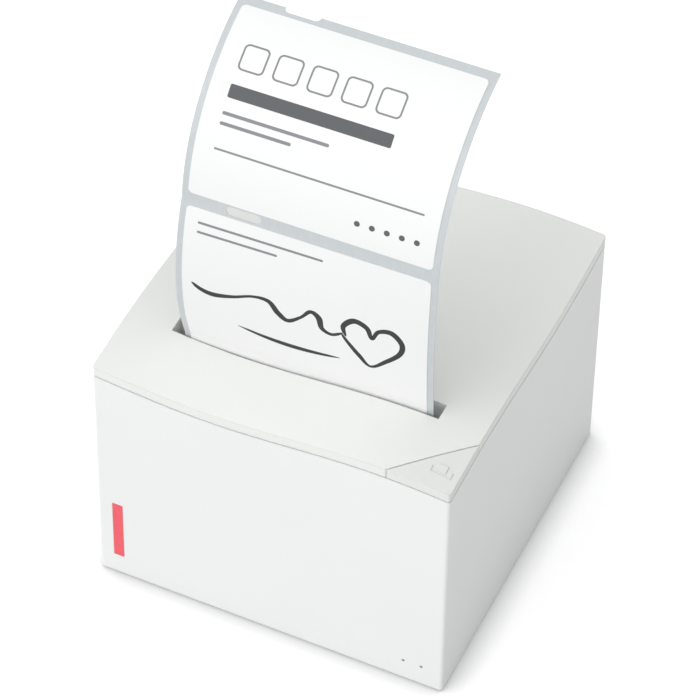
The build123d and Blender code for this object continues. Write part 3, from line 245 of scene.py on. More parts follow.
@dataclass(frozen=True)
class Finish:
    """One surface finish, built as a node material.

    Attributes:
        name: A maker's plain name of the material and how its surface was made.
        colour: sRGB hex of the surface.
        shade: sRGB hex that the surface drifts towards in patches.
        patch_mm: Size of those patches.
        rough: Mean roughness.
        rough_drift: How far the roughness drifts up and down.
        grain_mm: Size of the finest relief that is drawn.
        grain_depth_mm: Its depth.
        metallic: 1 for a bare metal.
        coat: Weight of a clear coat.
        sheen: Weight of a fabric's sheen.
        weave: A further pattern.
        weave_mm: Size of one repeat of that pattern.
        weave_colour: sRGB hex of the pattern's second colour.
        centre_mm: Where a wound pattern has its axis, in Y and Z.
        edge_mm: Radius that the light sees on crisp edges.
    """

    name: str
    colour: str
    shade: str
    patch_mm: float = 30.0
    rough: float = 0.5
    rough_drift: float = 0.04
    grain_mm: float = 0.6
    grain_depth_mm: float = 0.004
    metallic: float = 0.0
    coat: float = 0.0
    sheen: float = 0.0
    weave: Weave = Weave.NONE
    weave_mm: float = 1.0
    weave_colour: str = "808080"
    centre_mm: Flat = (0.0, 0.0)
    edge_mm: float = 0.0

    def build(self) -> bpy.types.Material:
        """Build the node material, ready to be put on pieces."""
        material = bpy.data.materials.new(self.name)
        tree = blank_tree(material)
        place = add_node(tree, "ShaderNodeTexCoord").outputs["Object"]
        patches = noise(tree, place, 1 / (self.patch_mm * MM), 3.0, 0.55)
        height = noise(tree, place, 1 / (self.grain_mm * MM), 2.0, 0.6)
        colour = mix(tree, patches, linear(self.colour), linear(self.shade))
        pattern = self.pattern(tree, place)
        if pattern is not None:
            colour = mix(tree, pattern, colour, linear(self.weave_colour))
            height = combine(tree, "ADD", height, pattern)
        span = (max(self.rough - self.rough_drift, 0.02), self.rough + self.rough_drift)
        rough = remap(tree, patches, (0.3, 0.7), span)
        depth = self.grain_depth_mm * MM
        relief: dict[Any, Any] = {"Height": height, "Distance": depth, "Strength": 1.0}
        if self.edge_mm > 0:
            relief["Normal"] = add_node(
                tree, "ShaderNodeBevel", {"Radius": self.edge_mm * MM}, samples=4
            ).outputs["Normal"]
        bump = add_node(tree, "ShaderNodeBump", relief)
        shader = add_node(
            tree,
            "ShaderNodeBsdfPrincipled",
            {
                "Base Color": colour,
                "Roughness": rough,
                "Metallic": self.metallic,
                "Normal": bump.outputs["Normal"],
                "Coat Weight": self.coat,
                "Coat Roughness": 0.15,
                "Sheen Weight": self.sheen,
            },
        )
        add_node(tree, "ShaderNodeOutputMaterial", {"Surface": shader.outputs["BSDF"]})
        return material

    def pattern(self, tree: Tree, place: Socket) -> Socket | None:
        """Build the finish's further pattern, from 0 to 1 over the Object place, if it has one."""
        builders = {
            Weave.BRUSHED: self.streaks,
            Weave.FIBRES: self.streaks,
            Weave.WOUND: self.rings,
            Weave.STRIPES: self.stripes,
            Weave.TRACES: self.traces,
            Weave.CLOTH: self.threads,
        }
        builder = builders.get(self.weave)
        return builder(tree, place) if builder else None

    @property
    def repeat(self) -> float:
        """Repeats of the pattern in one metre."""
        return 1 / (self.weave_mm * MM)

    def waves(self, tree: Tree, place: Socket, **settings: str) -> Socket:
        """Draw even waves, one to a repeat, since Blender's wave turns by 20 radians in a unit."""
        inputs = {"Vector": place, "Scale": self.repeat / 20 * math.tau}
        return add_node(tree, "ShaderNodeTexWave", inputs, **settings).outputs["Fac"]

    def streaks(self, tree: Tree, place: Socket) -> Socket:
        """Draw lines along X for brushed metal, or short fibres along Y and Z for paper."""
        stretch = (0.04, 1.0, 1.0) if self.weave is Weave.BRUSHED else (1.0, 0.3, 0.3)
        scale = [self.repeat * share for share in stretch]
        lines = add_node(tree, "ShaderNodeMapping", {"Vector": place, "Scale": scale})
        return remap(tree, noise(tree, lines.outputs[0], 1.0, 4.0), (0.45, 0.75))

    def rings(self, tree: Tree, place: Socket) -> Socket:
        """Draw rings about the pattern's centre, for wound paper."""
        centre = (0, -self.centre_mm[0] * MM, -self.centre_mm[1] * MM)
        centred = add_node(tree, "ShaderNodeMapping", {"Vector": place, "Location": centre})
        rings = self.waves(tree, centred.outputs[0], wave_type="RINGS", rings_direction="X")
        return remap(tree, rings, (0.35, 0.9))

    def stripes(self, tree: Tree, place: Socket) -> Socket:
        """Draw parallel conductors side by side in X."""
        return remap(tree, self.waves(tree, place, bands_direction="X"), (0.6, 0.8))

    def traces(self, tree: Tree, place: Socket) -> Socket:
        """Draw long and short copper runs, as the joints between uneven bricks."""
        upright = add_node(
            tree, "ShaderNodeMapping", {"Vector": place, "Rotation": (math.pi / 2, 0, 0)}
        )
        bricks = {
            "Vector": upright.outputs[0],
            "Scale": self.repeat,
            "Mortar Size": 0.035,
            "Mortar Smooth": 0.2,
            "Brick Width": 1.7,
            "Row Height": 0.4,
        }
        uneven = {"offset": 0.37, "offset_frequency": 3, "squash": 1.8, "squash_frequency": 2}
        return add_node(tree, "ShaderNodeTexBrick", bricks, **uneven).outputs["Fac"]

    def threads(self, tree: Tree, place: Socket) -> Socket:
        """Draw crossing threads in X and Z, for woven tape."""
        warp, weft = (self.waves(tree, place, bands_direction=way) for way in ("X", "Z"))
        return remap(tree, combine(tree, "MULTIPLY", warp, weft), (0.0, 1.6))


# ABS, spark-eroded mould: satin, with a grain that is drawn coarser than its real 0.1 mm
# so that it shows at all, and edges that catch a thread of light.
CASING_ABS = Finish("casing_abs_moulded", "EFF0EF", "ECEDEC", 40, 0.46, 0.03, 0.5, 0.003, edge_mm=0.45)
LID_ABS = Finish("lid_abs_moulded", "ECEDEA", "E9EAE7", 40, 0.44, 0.03, 0.5, 0.003, edge_mm=0.45)
KEY_ABS = Finish("key_abs_moulded", "E4E6E3", "E1E3E0", 40, 0.42, 0.03, 0.5, 0.003, edge_mm=0.2)
# The slot's lining: the same ABS, polished where the paper slides.
LINING_ABS = Finish("lining_abs_polished", "ECEDEB", "E8E9E7", 30, 0.3, 0.03, 0.5, 0.002, edge_mm=0.15)
# Glass-filled nylon, moulded: dull grey with faint flow marks.
GREY_NYLON = Finish("grey_nylon_moulded", "A9ACAE", "9DA1A3", 12, 0.6, 0.06, 0.5, 0.006, edge_mm=0.2)
# Unfilled nylon or acetal, moulded: milky, a little waxy.
WHITE_ACETAL = Finish("white_acetal_moulded", "E6E3D8", "DCD8CB", 6, 0.4, 0.05, 0.4, 0.003, edge_mm=0.12)
# Nitrile rubber, ground: no gloss, faintly dusty.
GROUND_RUBBER = Finish("nitrile_rubber_ground", "26272A", "313236", 8, 0.82, 0.06, 0.35, 0.012)
# Zinc-plated steel sheet: grey, with the rolling direction along X.
PLATED_SHEET = Finish(
    "zinc_plated_steel_sheet", "B4B8BB", "A2A7AB", 14, 0.36, 0.08, 0.5, 0.002, 1.0,
    weave=Weave.BRUSHED, weave_mm=0.35, weave_colour="989DA1", edge_mm=0.15,
)
# Ground steel bar: bright, with a fine even grain from the wheel.
GROUND_BAR = Finish("steel_bar_ground", "C6C9CB", "B5B9BC", 10, 0.24, 0.05, 0.4, 0.0015, 1.0)
# Zinc-plated screws: bluish, a little cloudy.
PLATED_SCREW = Finish("zinc_plated_screw", "A9AEB3", "8F959B", 2, 0.34, 0.08, 0.3, 0.002, 1.0)
# Drawn spring wire: bright grey, oiled.
SPRING_WIRE = Finish("spring_wire_drawn", "9DA0A3", "85898D", 3, 0.28, 0.06, 0.3, 0.002, 1.0)
# Extruded aluminium: fine lines along X.
EXTRUDED_ALUMINIUM = Finish(
    "aluminium_extruded", "CDD0D2", "BFC3C6", 16, 0.34, 0.06, 0.5, 0.002, 1.0,
    weave=Weave.BRUSHED, weave_mm=0.5, weave_colour="B8BCC0",
)
# Alumina under glaze: smooth and slightly cream.
GLAZED_CERAMIC = Finish("alumina_glazed", "D9D8CE", "CFCEC4", 20, 0.16, 0.03, 0.5, 0.001, coat=0.4)
# Woven polyester tape, dyed coral: a dull thread pattern, drawn coarse at 0.5 mm.
CORAL_TAPE = Finish(
    "polyester_tape_woven", "F4606B", "F0525F", 5, 0.62, 0.04, 0.4, 0.01, sheen=0.15,
    weave=Weave.CLOTH, weave_mm=0.5, weave_colour="E84855",
)
# Smoked acrylic rod, polished: looks dark until it is lit.
SMOKED_ACRYLIC = Finish("acrylic_rod_smoked", "74797C", "6A6F72", 2, 0.12, 0.02, 0.3, 0.0005, coat=0.5)
# Epoxy laminate under green solder mask: glossy, with copper runs just showing.
SOLDER_MASK = Finish(
    "epoxy_laminate_solder_mask", "1E5A38", "1A5032", 10, 0.3, 0.05, 0.5, 0.003,
    weave=Weave.TRACES, weave_mm=3.0, weave_colour="2C7448",
)
# Black epoxy and polyester, moulded: chips, sockets and sensors.
BLACK_MOULDED = Finish("black_polyester_moulded", "232426", "2C2D30", 6, 0.55, 0.08, 0.35, 0.006)
# Nickel-plated shell: bright and thin.
NICKEL_SHELL = Finish("steel_nickel_plated", "D3D1CC", "C6C4BF", 4, 0.18, 0.04, 0.4, 0.001, 1.0)
# Deep-drawn motor can: plated, dull along its draw.
MOTOR_CAN = Finish(
    "motor_can_drawn", "ADB0B2", "9A9EA1", 9, 0.38, 0.07, 0.5, 0.002, 1.0,
    weave=Weave.BRUSHED, weave_mm=0.6, weave_colour="94989B",
)
# Free-cutting brass, machined.
CUT_BRASS = Finish("brass_machined", "D9B566", "CBA557", 4, 0.26, 0.05, 0.3, 0.0015, 1.0)
# Glassine release paper: cool grey, slightly glossy, with pressed fibres drawn coarse.
RELEASE_PAPER = Finish(
    "glassine_release_paper", "C5CACC", "C2C7C9", 24, 0.36, 0.04, 0.5, 0.001,
    weave=Weave.FIBRES, weave_mm=1.2, weave_colour="C8CDCF",
)
# Coated thermal paper: nearly pure white, smooth, without gloss.
THERMAL_PAPER = Finish("thermal_paper_coated", "F1F1F1", "EFEFEF", 25, 0.62, 0.03, 0.6, 0.0012)
# The roll's cut end: hundreds of edges, drawn as one ring for about three turns.
WOUND_PAPER = Finish(
    "thermal_paper_wound", "F2F2F0", "EDEDEB", 20, 0.6, 0.04, 0.6, 0.002,
    weave=Weave.WOUND, weave_mm=1.2, weave_colour="DCDFDF", centre_mm=(12.0, 36.0),
)
# Spiral-wound brown board.
BROWN_BOARD = Finish("core_board_wound", "A98A66", "9B7C59", 7, 0.78, 0.05, 0.5, 0.01)
# Flat cable: tinned conductors under clear polyester, at a 1 mm pitch.
FLAT_CABLE = Finish(
    "flat_cable_laminated", "E9E9E4", "E2E2DC", 15, 0.35, 0.04, 0.6, 0.002,
    weave=Weave.STRIPES, weave_mm=1.0, weave_colour="A9ADB0",
)
# Thermal print: the coating turned dark, still dull. Black for the brush marks, greys for the rest.
PRINT_BLACK = Finish("thermal_print_black", "262729", "2E2F32", 3, 0.6, 0.03, 0.5, 0.001)
PRINT_DARK = Finish("thermal_print_dark_grey", "58595C", "5F6063", 3, 0.6, 0.03, 0.5, 0.001)
PRINT_GREY = Finish("thermal_print_grey", "85868A", "8C8D91", 3, 0.6, 0.03, 0.5, 0.001)

CARRIED: dict[Finish, tuple[str, ...]] = {
    CASING_ABS: ("base_shell", "base_plate"),
    LID_ABS: ("lid_shell",),
    LINING_ABS: ("slot_liner",),
    KEY_ABS: ("corner_key", "power_button"),
    CORAL_TAPE: ("red_tag",),
    SMOKED_ACRYLIC: ("light_pipes",),
    GROUND_RUBBER: ("rubber_feet", "platen_rubber"),
    GREY_NYLON: ("key_bracket", "paper_guide", "platen_carrier", "roll_hubs", "latch_lever"),
    WHITE_ACETAL: ("platen_bushes", "platen_gear", "idler_gear"),
    GROUND_BAR: (
        "latch_pin", "head_pivot_rod", "idler_axle", "hinge_pins", "platen_shaft", "motor_shaft",
        "roll_spindle",
    ),
    PLATED_SHEET: ("left_plate", "right_plate", "cross_bar"),
    EXTRUDED_ALUMINIUM: ("head_sink",),
    GLAZED_CERAMIC: ("thermal_head",),
    MOTOR_CAN: ("stepper_motor",),
    CUT_BRASS: ("motor_pinion",),
    SOLDER_MASK: ("lamp_board", "main_board"),
    BLACK_MOULDED: ("gap_sensor", "board_parts", "power_inlet", "power_switch"),
    NICKEL_SHELL: ("data_port",),
    FLAT_CABLE: ("head_cable", "motor_cable"),
    RELEASE_PAPER: ("label_web",),
    BROWN_BOARD: ("roll_core",),
}


class Workshop:
    """Builds materials once and turns bmeshes into pieces that ride on the frame."""

    def __init__(self) -> None:
        """Start with no materials built."""
        self.materials: dict[str, bpy.types.Material] = {}

    def material(self, finish: Finish) -> bpy.types.Material:
        """Give the material of a finish, building it the first time."""
        if finish.name not in self.materials:
            self.materials[finish.name] = finish.build()
        return self.materials[finish.name]

    def piece(
        self,
        name: str,
        shape: Shape,
        finish: Finish,
        body: Body,
        slot: Slot,
        replaces: Sequence[str] = (),
        sharp_deg: float = 50.0,
    ) -> bpy.types.Object:
        """Turn a finished bmesh into a piece of the printer.

        Args:
            name: The piece's name.
            shape: Its mesh, in metres, in the frame. It is freed here.
            finish: What it is made of.
            body: The moving group it rides on.
            slot: The record's slot for its finish; not used.
            replaces: CAD nodes that it stands for.
            sharp_deg: Edges that turn by more than this stay crisp.

        Returns:
            The new object.
        """
        bmesh.ops.remove_doubles(shape, verts=shape.verts, dist=1e-7)
        bmesh.ops.recalc_face_normals(shape, faces=shape.faces)
        mesh = bpy.data.meshes.new(name)
        shape.to_mesh(mesh)
        shape.free()
        mesh.polygons.foreach_set("use_smooth", [True] * len(mesh.polygons))
        mesh.set_sharp_from_angle(angle=math.radians(sharp_deg))
        mesh.materials.append(self.material(finish))
        thing = stand(name, mesh)
        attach(thing, body.value)
        if replaces:
            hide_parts(*replaces)
        LOG.info("%s: %d faces on %s", name, len(mesh.polygons), body.value)
        return thing

    def dress_frame(self) -> None:
        """Put a finish on every CAD node that stays in view."""
        for finish, nodes in CARRIED.items():
            for node in nodes:
                mesh = frame["nodes"][node].data
                mesh.materials.clear()
                mesh.materials.append(self.material(finish))
                LOG.info("%s carried over in %s", node, finish.name)


@dataclass(frozen=True)
class Bend:
    """One stretch of paper seen from the side, bending evenly from one lean to another.

    Attributes:
        start: Its first point in Y and Z, in millimetres.
        lean_from: Lean at the start, in degrees, forward positive.
        lean_to: Lean at the end.
        length: Its length in millimetres.
    """

    start: Flat
    lean_from: float
    lean_to: float
    length: float

    def at(self, share: float) -> Flat:
        """Give the point at a share of the stretch."""
        bend = math.radians(self.lean_to - self.lean_from) / self.length
        first = math.radians(self.lean_from)
        here = math.radians(self.lean(share))
        y, z = self.start
        if abs(bend) < 1e-6:
            run = self.length * share
            return y - math.sin(first) * run, z + math.cos(first) * run
        y += (math.cos(here) - math.cos(first)) / bend
        return y, z + (math.sin(here) - math.sin(first)) / bend

    def lean(self, share: float) -> float:
        """Give the lean at a share of the stretch, in degrees."""
        return self.lean_from + (self.lean_to - self.lean_from) * share


@dataclass
class LabelStrip:
    """The strip of labels that stands out of the slot, with what is printed on it.

    The strip is drawn flat, across in X and along in S, and then laid on its curve. S is 0 where
    the strip clears the lid, and grows towards the torn end. Millimetres.
    """

    workshop: Workshop
    platen: Flat = (-27.8, 73.0)
    wrap_radius: float = 6.05
    nip_lean: float = 18.0
    lip_height: float = 92.0
    left_lip: float = -35.2
    right_lip: float = -34.4
    left_lean: float = 20.0
    right_lean: float = 5.0
    lower_length: float = 58.0
    upper_length: float = 64.0
    curl_start: float = 5.0
    curl_end: float = 77.0
    left: float = -39.0
    right: float = 41.0
    liner_thick: float = 0.25
    label_thick: float = 0.15
    glue: float = 0.005
    label_below_lip: float = 2.85
    margin: float = 2.0
    gap: float = 4.5
    tail: float = 3.0
    corner: float = 1.5
    hole_centre: float = -19.5
    hole_length: float = 11.0
    hole_width: float = 3.0
    end_width: float = 3.0
    end_steps: int = 8
    step: float = 1.6
    cross_step: float = 8.0
    ink_rise: float = 0.02
    form_left: float = -31.0
    box_count: int = 5
    box_pitch: float = 10.6
    box_drop: float = 19.0
    box_side: float = 8.0
    box_line: float = 0.55
    box_radii: Flat = (1.6, 1.1)
    dot_size: float = 1.8
    dot_drop: float = 50.4
    brush_parts: int = 12
    blunt_parts: int = 6
    left_edge: list[Bend] = field(init=False)
    right_edge: list[Bend] = field(init=False)

    def __post_init__(self) -> None:
        """Work out the curve of both edges."""
        self.left_edge = self.edge(self.left_lip, self.left_lean)
        self.right_edge = self.edge(self.right_lip, self.right_lean)

    @property
    def label_top(self) -> float:
        """Height of a label's face over the liner's back."""
        return self.liner_thick + self.glue + self.label_thick

    def edge(self, lip_y: float, lean: float) -> list[Bend]:
        """Work out one edge of the strip.

        Args:
            lip_y: Where it clears the lid, in Y.
            lean: How far it leans forward there, in degrees.

        Returns:
            Its stretches: round the platen, up to the lip, the lower label and the upper label.
        """
        forward, up = self.platen[0] - lip_y, self.lip_height - self.platen[1]
        away = math.hypot(forward, up)
        exit_lean = math.degrees(math.atan2(forward, up) - math.asin(self.wrap_radius / away))
        nip = math.radians(self.nip_lean)
        start = (
            self.platen[0] - math.cos(nip) * self.wrap_radius,
            self.platen[1] - math.sin(nip) * self.wrap_radius,
        )
        wrap_length = self.wrap_radius * math.radians(self.nip_lean - exit_lean)
        wrap = Bend(start, self.nip_lean, exit_lean, wrap_length)
        run = Bend(wrap.at(1), exit_lean, exit_lean, math.sqrt(away**2 - self.wrap_radius**2))
        lower = Bend(run.at(1), lean, -lean, self.lower_length)
        upper = Bend(lower.at(1), -self.curl_start, -self.curl_end, self.upper_length)
        return [wrap, run, lower, upper]

    def locate(self, s: float) -> tuple[int, float]:
        """Find the stretch and the share of it that a length along the strip stands for."""
        run = self.left_edge[1].length
        wrap = self.left_edge[0].length
        if s >= self.lower_length:
            return 3, (s - self.lower_length) / self.upper_length
        if s >= 0:
            return 2, s / self.lower_length
        if s >= -run:
            return 1, 1 + s / run
        return 0, max(1 + (s + run) / wrap, 0.0)

    def place(self, x: float, s: float, rise: float) -> Vector:
        """Lay one point of the flat drawing on the strip's curve.

        Args:
            x: Place across.
            s: Place along.
            rise: Height over the liner's back.

        Returns:
            The point in metres.
        """
        across = (x - self.left) / (self.right - self.left)
        index, share = self.locate(s)
        point = [0.0, 0.0]
        for edge, weight in ((self.left_edge, 1 - across), (self.right_edge, across)):
            y, z = edge[index].at(share)
            lean = edge[index].lean(share)
            if share > 1 - 1e-6 and index < 3:
                lean = (lean + edge[index + 1].lean(0)) / 2
            if share < 1e-6 and index > 0:
                lean = (lean + edge[index - 1].lean(1)) / 2
            turn = math.radians(lean)
            point[0] += weight * (y - math.cos(turn) * rise)
            point[1] += weight * (z - math.sin(turn) * rise)
        return Vector((x, point[0], point[1])) * MM

    def sheet(self, loops: Iterable[Sequence[Flat]], low: float, thick: float) -> Shape:
        """Cut a flat shape from outlines, give it thickness and lay it on the strip's curve.

        Args:
            loops: The closed outlines, holes among them, as points across and along.
            low: Height of its back over the liner's back.
            thick: Its thickness.

        Returns:
            The closed mesh in metres.
        """
        shape = bmesh.new()
        for loop in loops:
            draw(shape, [(x, s, 0.0) for x, s in loop])
        fill(shape)
        across, along = [v.co.x for v in shape.verts], [v.co.y for v in shape.verts]
        for s in self.folds(min(along), max(along)):
            cut(shape, Vector((0, s, 0)), (0, 1, 0))
        for column in range(1, int((self.right - self.left) / self.cross_step)):
            x = self.left + column * self.cross_step
            if min(across) < x < max(across):
                cut(shape, Vector((x, 0, 0)), (1, 0, 0))
        extrude(shape, shape.faces[:], thick)
        self.lay(shape, low)
        return shape

    def folds(self, s_low: float, s_high: float) -> list[float]:
        """Give the lengths along the strip at which every sheet is folded."""
        run = self.left_edge[1].length
        marks = [0.0, self.lower_length, -run]
        for start, length in ((0.0, self.lower_length), (self.lower_length, self.upper_length)):
            count = round(length / self.step)
            marks += [start + length * i / count for i in range(1, count)]
        return [s for s in marks if s_low + 1e-4 < s < s_high - 1e-4]

    def lay(self, shape: Shape, low: float) -> None:
        """Move every vertex of a flat drawing onto the strip's curve, keeping its flat place as UV."""
        layer = shape.loops.layers.uv.new("UVMap")
        for face in shape.faces:
            for loop in face.loops:
                loop[layer].uv = (loop.vert.co.x * MM, loop.vert.co.y * MM)
        for vert in shape.verts:
            vert.co = self.place(vert.co.x, vert.co.y, low + vert.co.z)

    def build(self) -> None:
        """Build the liner, both labels and their print."""
        start = -self.left_edge[1].length - self.left_edge[0].length
        end = self.lower_length + self.upper_length
        half_long, half_end = self.hole_length / 2, self.end_width / 2
        notch = []
        for i in range(self.end_steps + 1):
            turn = math.radians(90 * i / self.end_steps)
            notch.append((half_long - half_end + half_end * math.cos(turn), half_end * math.sin(turn)))
        torn = [(self.hole_centre + x, end - depth) for x, depth in notch]
        torn += [(self.hole_centre - x, end - depth) for x, depth in reversed(notch)]
        outline = [(self.left, start), (self.right, start), (self.right, end), *torn, (self.left, end)]
        hole = rounded(
            self.hole_centre - half_long,
            self.hole_centre + half_long,
            self.lower_length - self.hole_width / 2,
            self.lower_length + self.hole_width / 2,
            self.hole_width / 2 - HAIR,
        )
        liner = self.sheet([outline, hole], 0.0, self.liner_thick)
        self.workshop.piece("strip_liner", liner, RELEASE_PAPER, Body.LID, Slot.LINER, ("label_strip",))
        half_gap = self.gap / 2
        spans = {
            "lower": (-self.label_below_lip, self.lower_length - half_gap),
            "upper": (self.lower_length + half_gap, end - self.tail),
        }
        for name, (low, high) in spans.items():
            outline = rounded(self.left + self.margin, self.right - self.margin, low, high, self.corner)
            label = self.sheet([outline], self.liner_thick + self.glue, self.label_thick)
            self.workshop.piece(
                f"label_{name}_face", label, THERMAL_PAPER, Body.LID, Slot.LABEL, (f"{name}_label",)
            )
        self.print_upper(spans["upper"][1])
        self.print_lower(spans["lower"][1])

    def ink(self, name: str, loops: list[list[Flat]], finish: Finish) -> None:
        """Print a flat figure on the labels, from its outlines with the holes among them."""
        shape = self.sheet(loops, self.label_top - self.ink_rise, self.ink_rise * 2)
        self.workshop.piece(name, shape, finish, Body.LID, Slot.LABEL)

    def bars(self, name: str, top: float, rows: Iterable[tuple[float, ...]], finish: Finish) -> None:
        """Print bars with rounded ends.

        Each row holds a bar's left and right side, its lower and upper side measured down from
        the label's top, and its corner radius.
        """
        loops = [rounded(left, right, top - low, top - high, r) for left, right, low, high, r in rows]
        self.ink(name, loops, finish)

    def print_upper(self, top: float) -> None:
        """Print a plain form below the upper label's end: a row of boxes, a bar, rules and dots."""
        left, side, line = self.form_left, self.box_side, self.box_line
        s = top - self.box_drop
        boxes = []
        for i in range(self.box_count):
            x = left + self.box_pitch * i
            boxes.append(rounded(x, x + side, s, s + side, self.box_radii[0]))
            inner = (x + line, x + side - line, s + line, s + side - line)
            boxes.append(rounded(*inner, self.box_radii[1]))
        self.ink("print_boxes", boxes, PRINT_GREY)
        self.bars("print_bar", top, [(left, 19.4, 27.2, 23.2, 0.5)], PRINT_DARK)
        note = [(left, 2.0, 32.2, 31.2, 0.45), (left, -9.0, 35.2, 34.2, 0.45)]
        self.bars("print_note_lines", top, note, PRINT_GREY)
        self.bars("print_rule", top, [(left, 34.0, 42.6, 42.0, 0.25)], PRINT_GREY)
        dot, drop = self.dot_size, self.dot_drop
        places = (14.0, 18.6, 23.2, 27.8, 32.4)
        dots = [(x, x + dot, drop + dot, drop, dot / 2 - HAIR * 2) for x in places]
        self.bars("print_dots", top, dots, PRINT_DARK)

    def print_lower(self, top: float) -> None:
        """Print two short rules and a wavy brush stroke with a heart on the lower label."""
        note = [(-33.0, 6.0, 5.0, 4.2, 0.35), (-33.0, -8.0, 8.2, 7.4, 0.35)]
        self.bars("print_small_lines", top, note, PRINT_GREY)
        wavy = [
            (-34.0, 28.5, 0.5), (-31.0, 26.5, 0.8), (-27.0, 25.8, 0.9), (-21.0, 27.3, 0.6),
            (-15.0, 29.8, 0.5), (-10.0, 29.8, 0.8), (-7.0, 26.0, 1.0), (-4.0, 24.0, 0.8),
            (0.0, 27.0, 0.5), (3.0, 30.5, 0.7), (5.6, 29.0, 1.0), (6.6, 25.0, 0.8),
            (9.6, 23.6, 0.6), (13.0, 25.6, 0.5),
        ]
        heart = [
            (14.0, 24.6, 0.5), (13.2, 28.6, 0.8), (16.4, 32.0, 1.0), (20.4, 30.6, 0.9),
            (22.0, 26.8, 0.6), (24.0, 30.4, 0.7), (28.0, 31.4, 1.0), (31.2, 28.0, 0.9),
            (30.6, 23.6, 0.8), (26.4, 18.6, 0.7), (21.6, 14.4, 0.5), (18.0, 18.0, 0.8),
            (14.4, 22.6, 0.6), (12.6, 25.4, 0.4),
        ]
        line = [
            (-20.0, 14.6, 0.3), (-12.0, 13.0, 0.7), (-4.0, 12.4, 0.9), (4.0, 12.8, 0.7),
            (12.0, 13.9, 0.3),
        ]
        for name, marks in (("wavy_stroke", wavy), ("heart", heart), ("underline", line)):
            self.brush(f"print_{name}", marks)

    def brush(self, name: str, marks: Sequence[Triple]) -> None:
        """Draw a brush mark: a narrow grid that follows a smooth line, wide where the brush was pressed.

        Args:
            name: The piece's name.
            marks: Places across and along that the line runs through, with its half width there.
        """
        line = self.smooth(marks, self.brush_parts)
        last = len(line) - 1
        shape = bmesh.new()
        bmesh.ops.create_grid(shape, x_segments=last, y_segments=2, size=1.0)
        for vert in shape.verts:
            i = round((vert.co.x + 1) / 2 * last)
            x, s, half = line[i]
            before, after = line[max(i - 1, 0)], line[min(i + 1, last)]
            run = Vector((after[0] - before[0], after[1] - before[1])).normalized()
            blunt = min(1.0, math.sqrt((min(i, last - i) + 0.3) / self.blunt_parts))
            side = vert.co.y * half * blunt
            vert.co = (x - run.y * side, s + run.x * side, 0.0)
        extrude(shape, shape.faces[:], self.ink_rise * 2)
        self.lay(shape, self.label_top - self.ink_rise)
        self.workshop.piece(name, shape, PRINT_BLACK, Body.LID, Slot.LABEL)

    @staticmethod
    def smooth(marks: Sequence[Triple], parts: int) -> list[tuple[float, ...]]:
        """Run a smooth curve through marks, with so many parts between two of them."""
        points: list[tuple[float, ...]] = []
        padded = [marks[0], *marks, marks[-1]]
        for a, b, c, d in zip(padded, padded[1:], padded[2:], padded[3:]):
            for i in range(parts):
                t = i / parts
                point = []
                for p, q, r, u in zip(a, b, c, d):
                    first, second = (r - p) * t, (2 * p - 5 * q + 4 * r - u) * t**2
                    point.append(0.5 * (2 * q + first + second + (3 * q - p - 3 * r + u) * t**3))
                points.append(tuple(point))
        points.append(tuple(float(v) for v in marks[-1]))
        return points


@dataclass
class LabelRoll:
    """The roll of labels: turns of paper that show at both ends, and die-cut labels outside.

    Its real turns are 0.4 mm thick; they are drawn as rings twice as thick. Millimetres.
    """

    workshop: Workshop
    centre: Flat = (12.0, 36.0)
    left: float = -39.0
    right: float = 41.0
    bore: float = 13.0
    outer: float = 27.8
    ring: float = 0.8
    ring_edge: float = 0.12
    groove: float = 0.16
    uneven: float = 0.14
    edge_sink: float = 0.2
    labels: int = 3
    label_lift: float = 0.02
    label_thick: float = 0.15
    margin: float = 2.0
    gap: float = 4.5
    corner: float = 1.5
    step: float = 1.6
    steps_round: int = 96

    def build(self) -> None:
        """Build the wound liner and the labels of its outer turn."""
        self.workshop.piece(
            "wound_label_roll", self.wind(), WOUND_PAPER, Body.ROLL, Slot.LABEL, ("label_roll",)
        )
        pitch = math.tau * self.outer / self.labels
        for i in range(self.labels):
            label = self.label(pitch * i + self.gap / 2, pitch * (i + 1) - self.gap / 2)
            self.workshop.piece(f"roll_label_{i + 1}", label, THERMAL_PAPER, Body.ROLL, Slot.LABEL)

    def wind(self) -> Shape:
        """Spin the roll's profile: a ring for each pair of turns, standing in and out a little."""
        count = round((self.outer - self.bore) / self.ring)
        ends: dict[int, list[Flat]] = {1: [], -1: []}
        for sign, face in ((1, self.right), (-1, self.left)):
            for i in range(count):
                near = self.bore + (self.outer - self.bore) * i / count
                far = self.bore + (self.outer - self.bore) * (i + 1) / count
                sink = self.uneven * ((i * GOLDEN_SHARE + 0.25 * sign) % 1.0)
                x = face - sign * sink
                inner = face - sign * (sink + self.groove)
                ends[sign] += [(inner, near), (x, near + self.ring_edge), (x, far - self.ring_edge)]
            ends[sign].append((face - sign * self.edge_sink, self.outer))
        loop = ends[1] + list(reversed(ends[-1]))
        shape = bmesh.new()
        y, z = self.centre
        draw(shape, [Vector((x, y, z + r)) * MM for x, r in loop])
        lathe(shape, Vector((0, y, z)) * MM, (1, 0, 0), self.steps_round)
        return shape

    def label(self, low: float, high: float) -> Shape:
        """Cut one label, fold it in narrow strips and lay it from one length round the roll to another."""
        shape = bmesh.new()
        left, right = self.left + self.margin, self.right - self.margin
        draw(shape, [(x, s, 0.0) for x, s in rounded(left, right, low, high, self.corner)])
        fill(shape)
        count = round((high - low) / self.step)
        for i in range(1, count):
            cut(shape, Vector((0, low + (high - low) * i / count, 0)), (0, 1, 0))
        extrude(shape, shape.faces[:], self.label_thick)
        y, z = self.centre
        for vert in shape.verts:
            turn = vert.co.y / self.outer
            reach = self.outer + self.label_lift + vert.co.z
            vert.co = Vector((vert.co.x, y + reach * math.cos(turn), z + reach * math.sin(turn))) * MM
        return shape


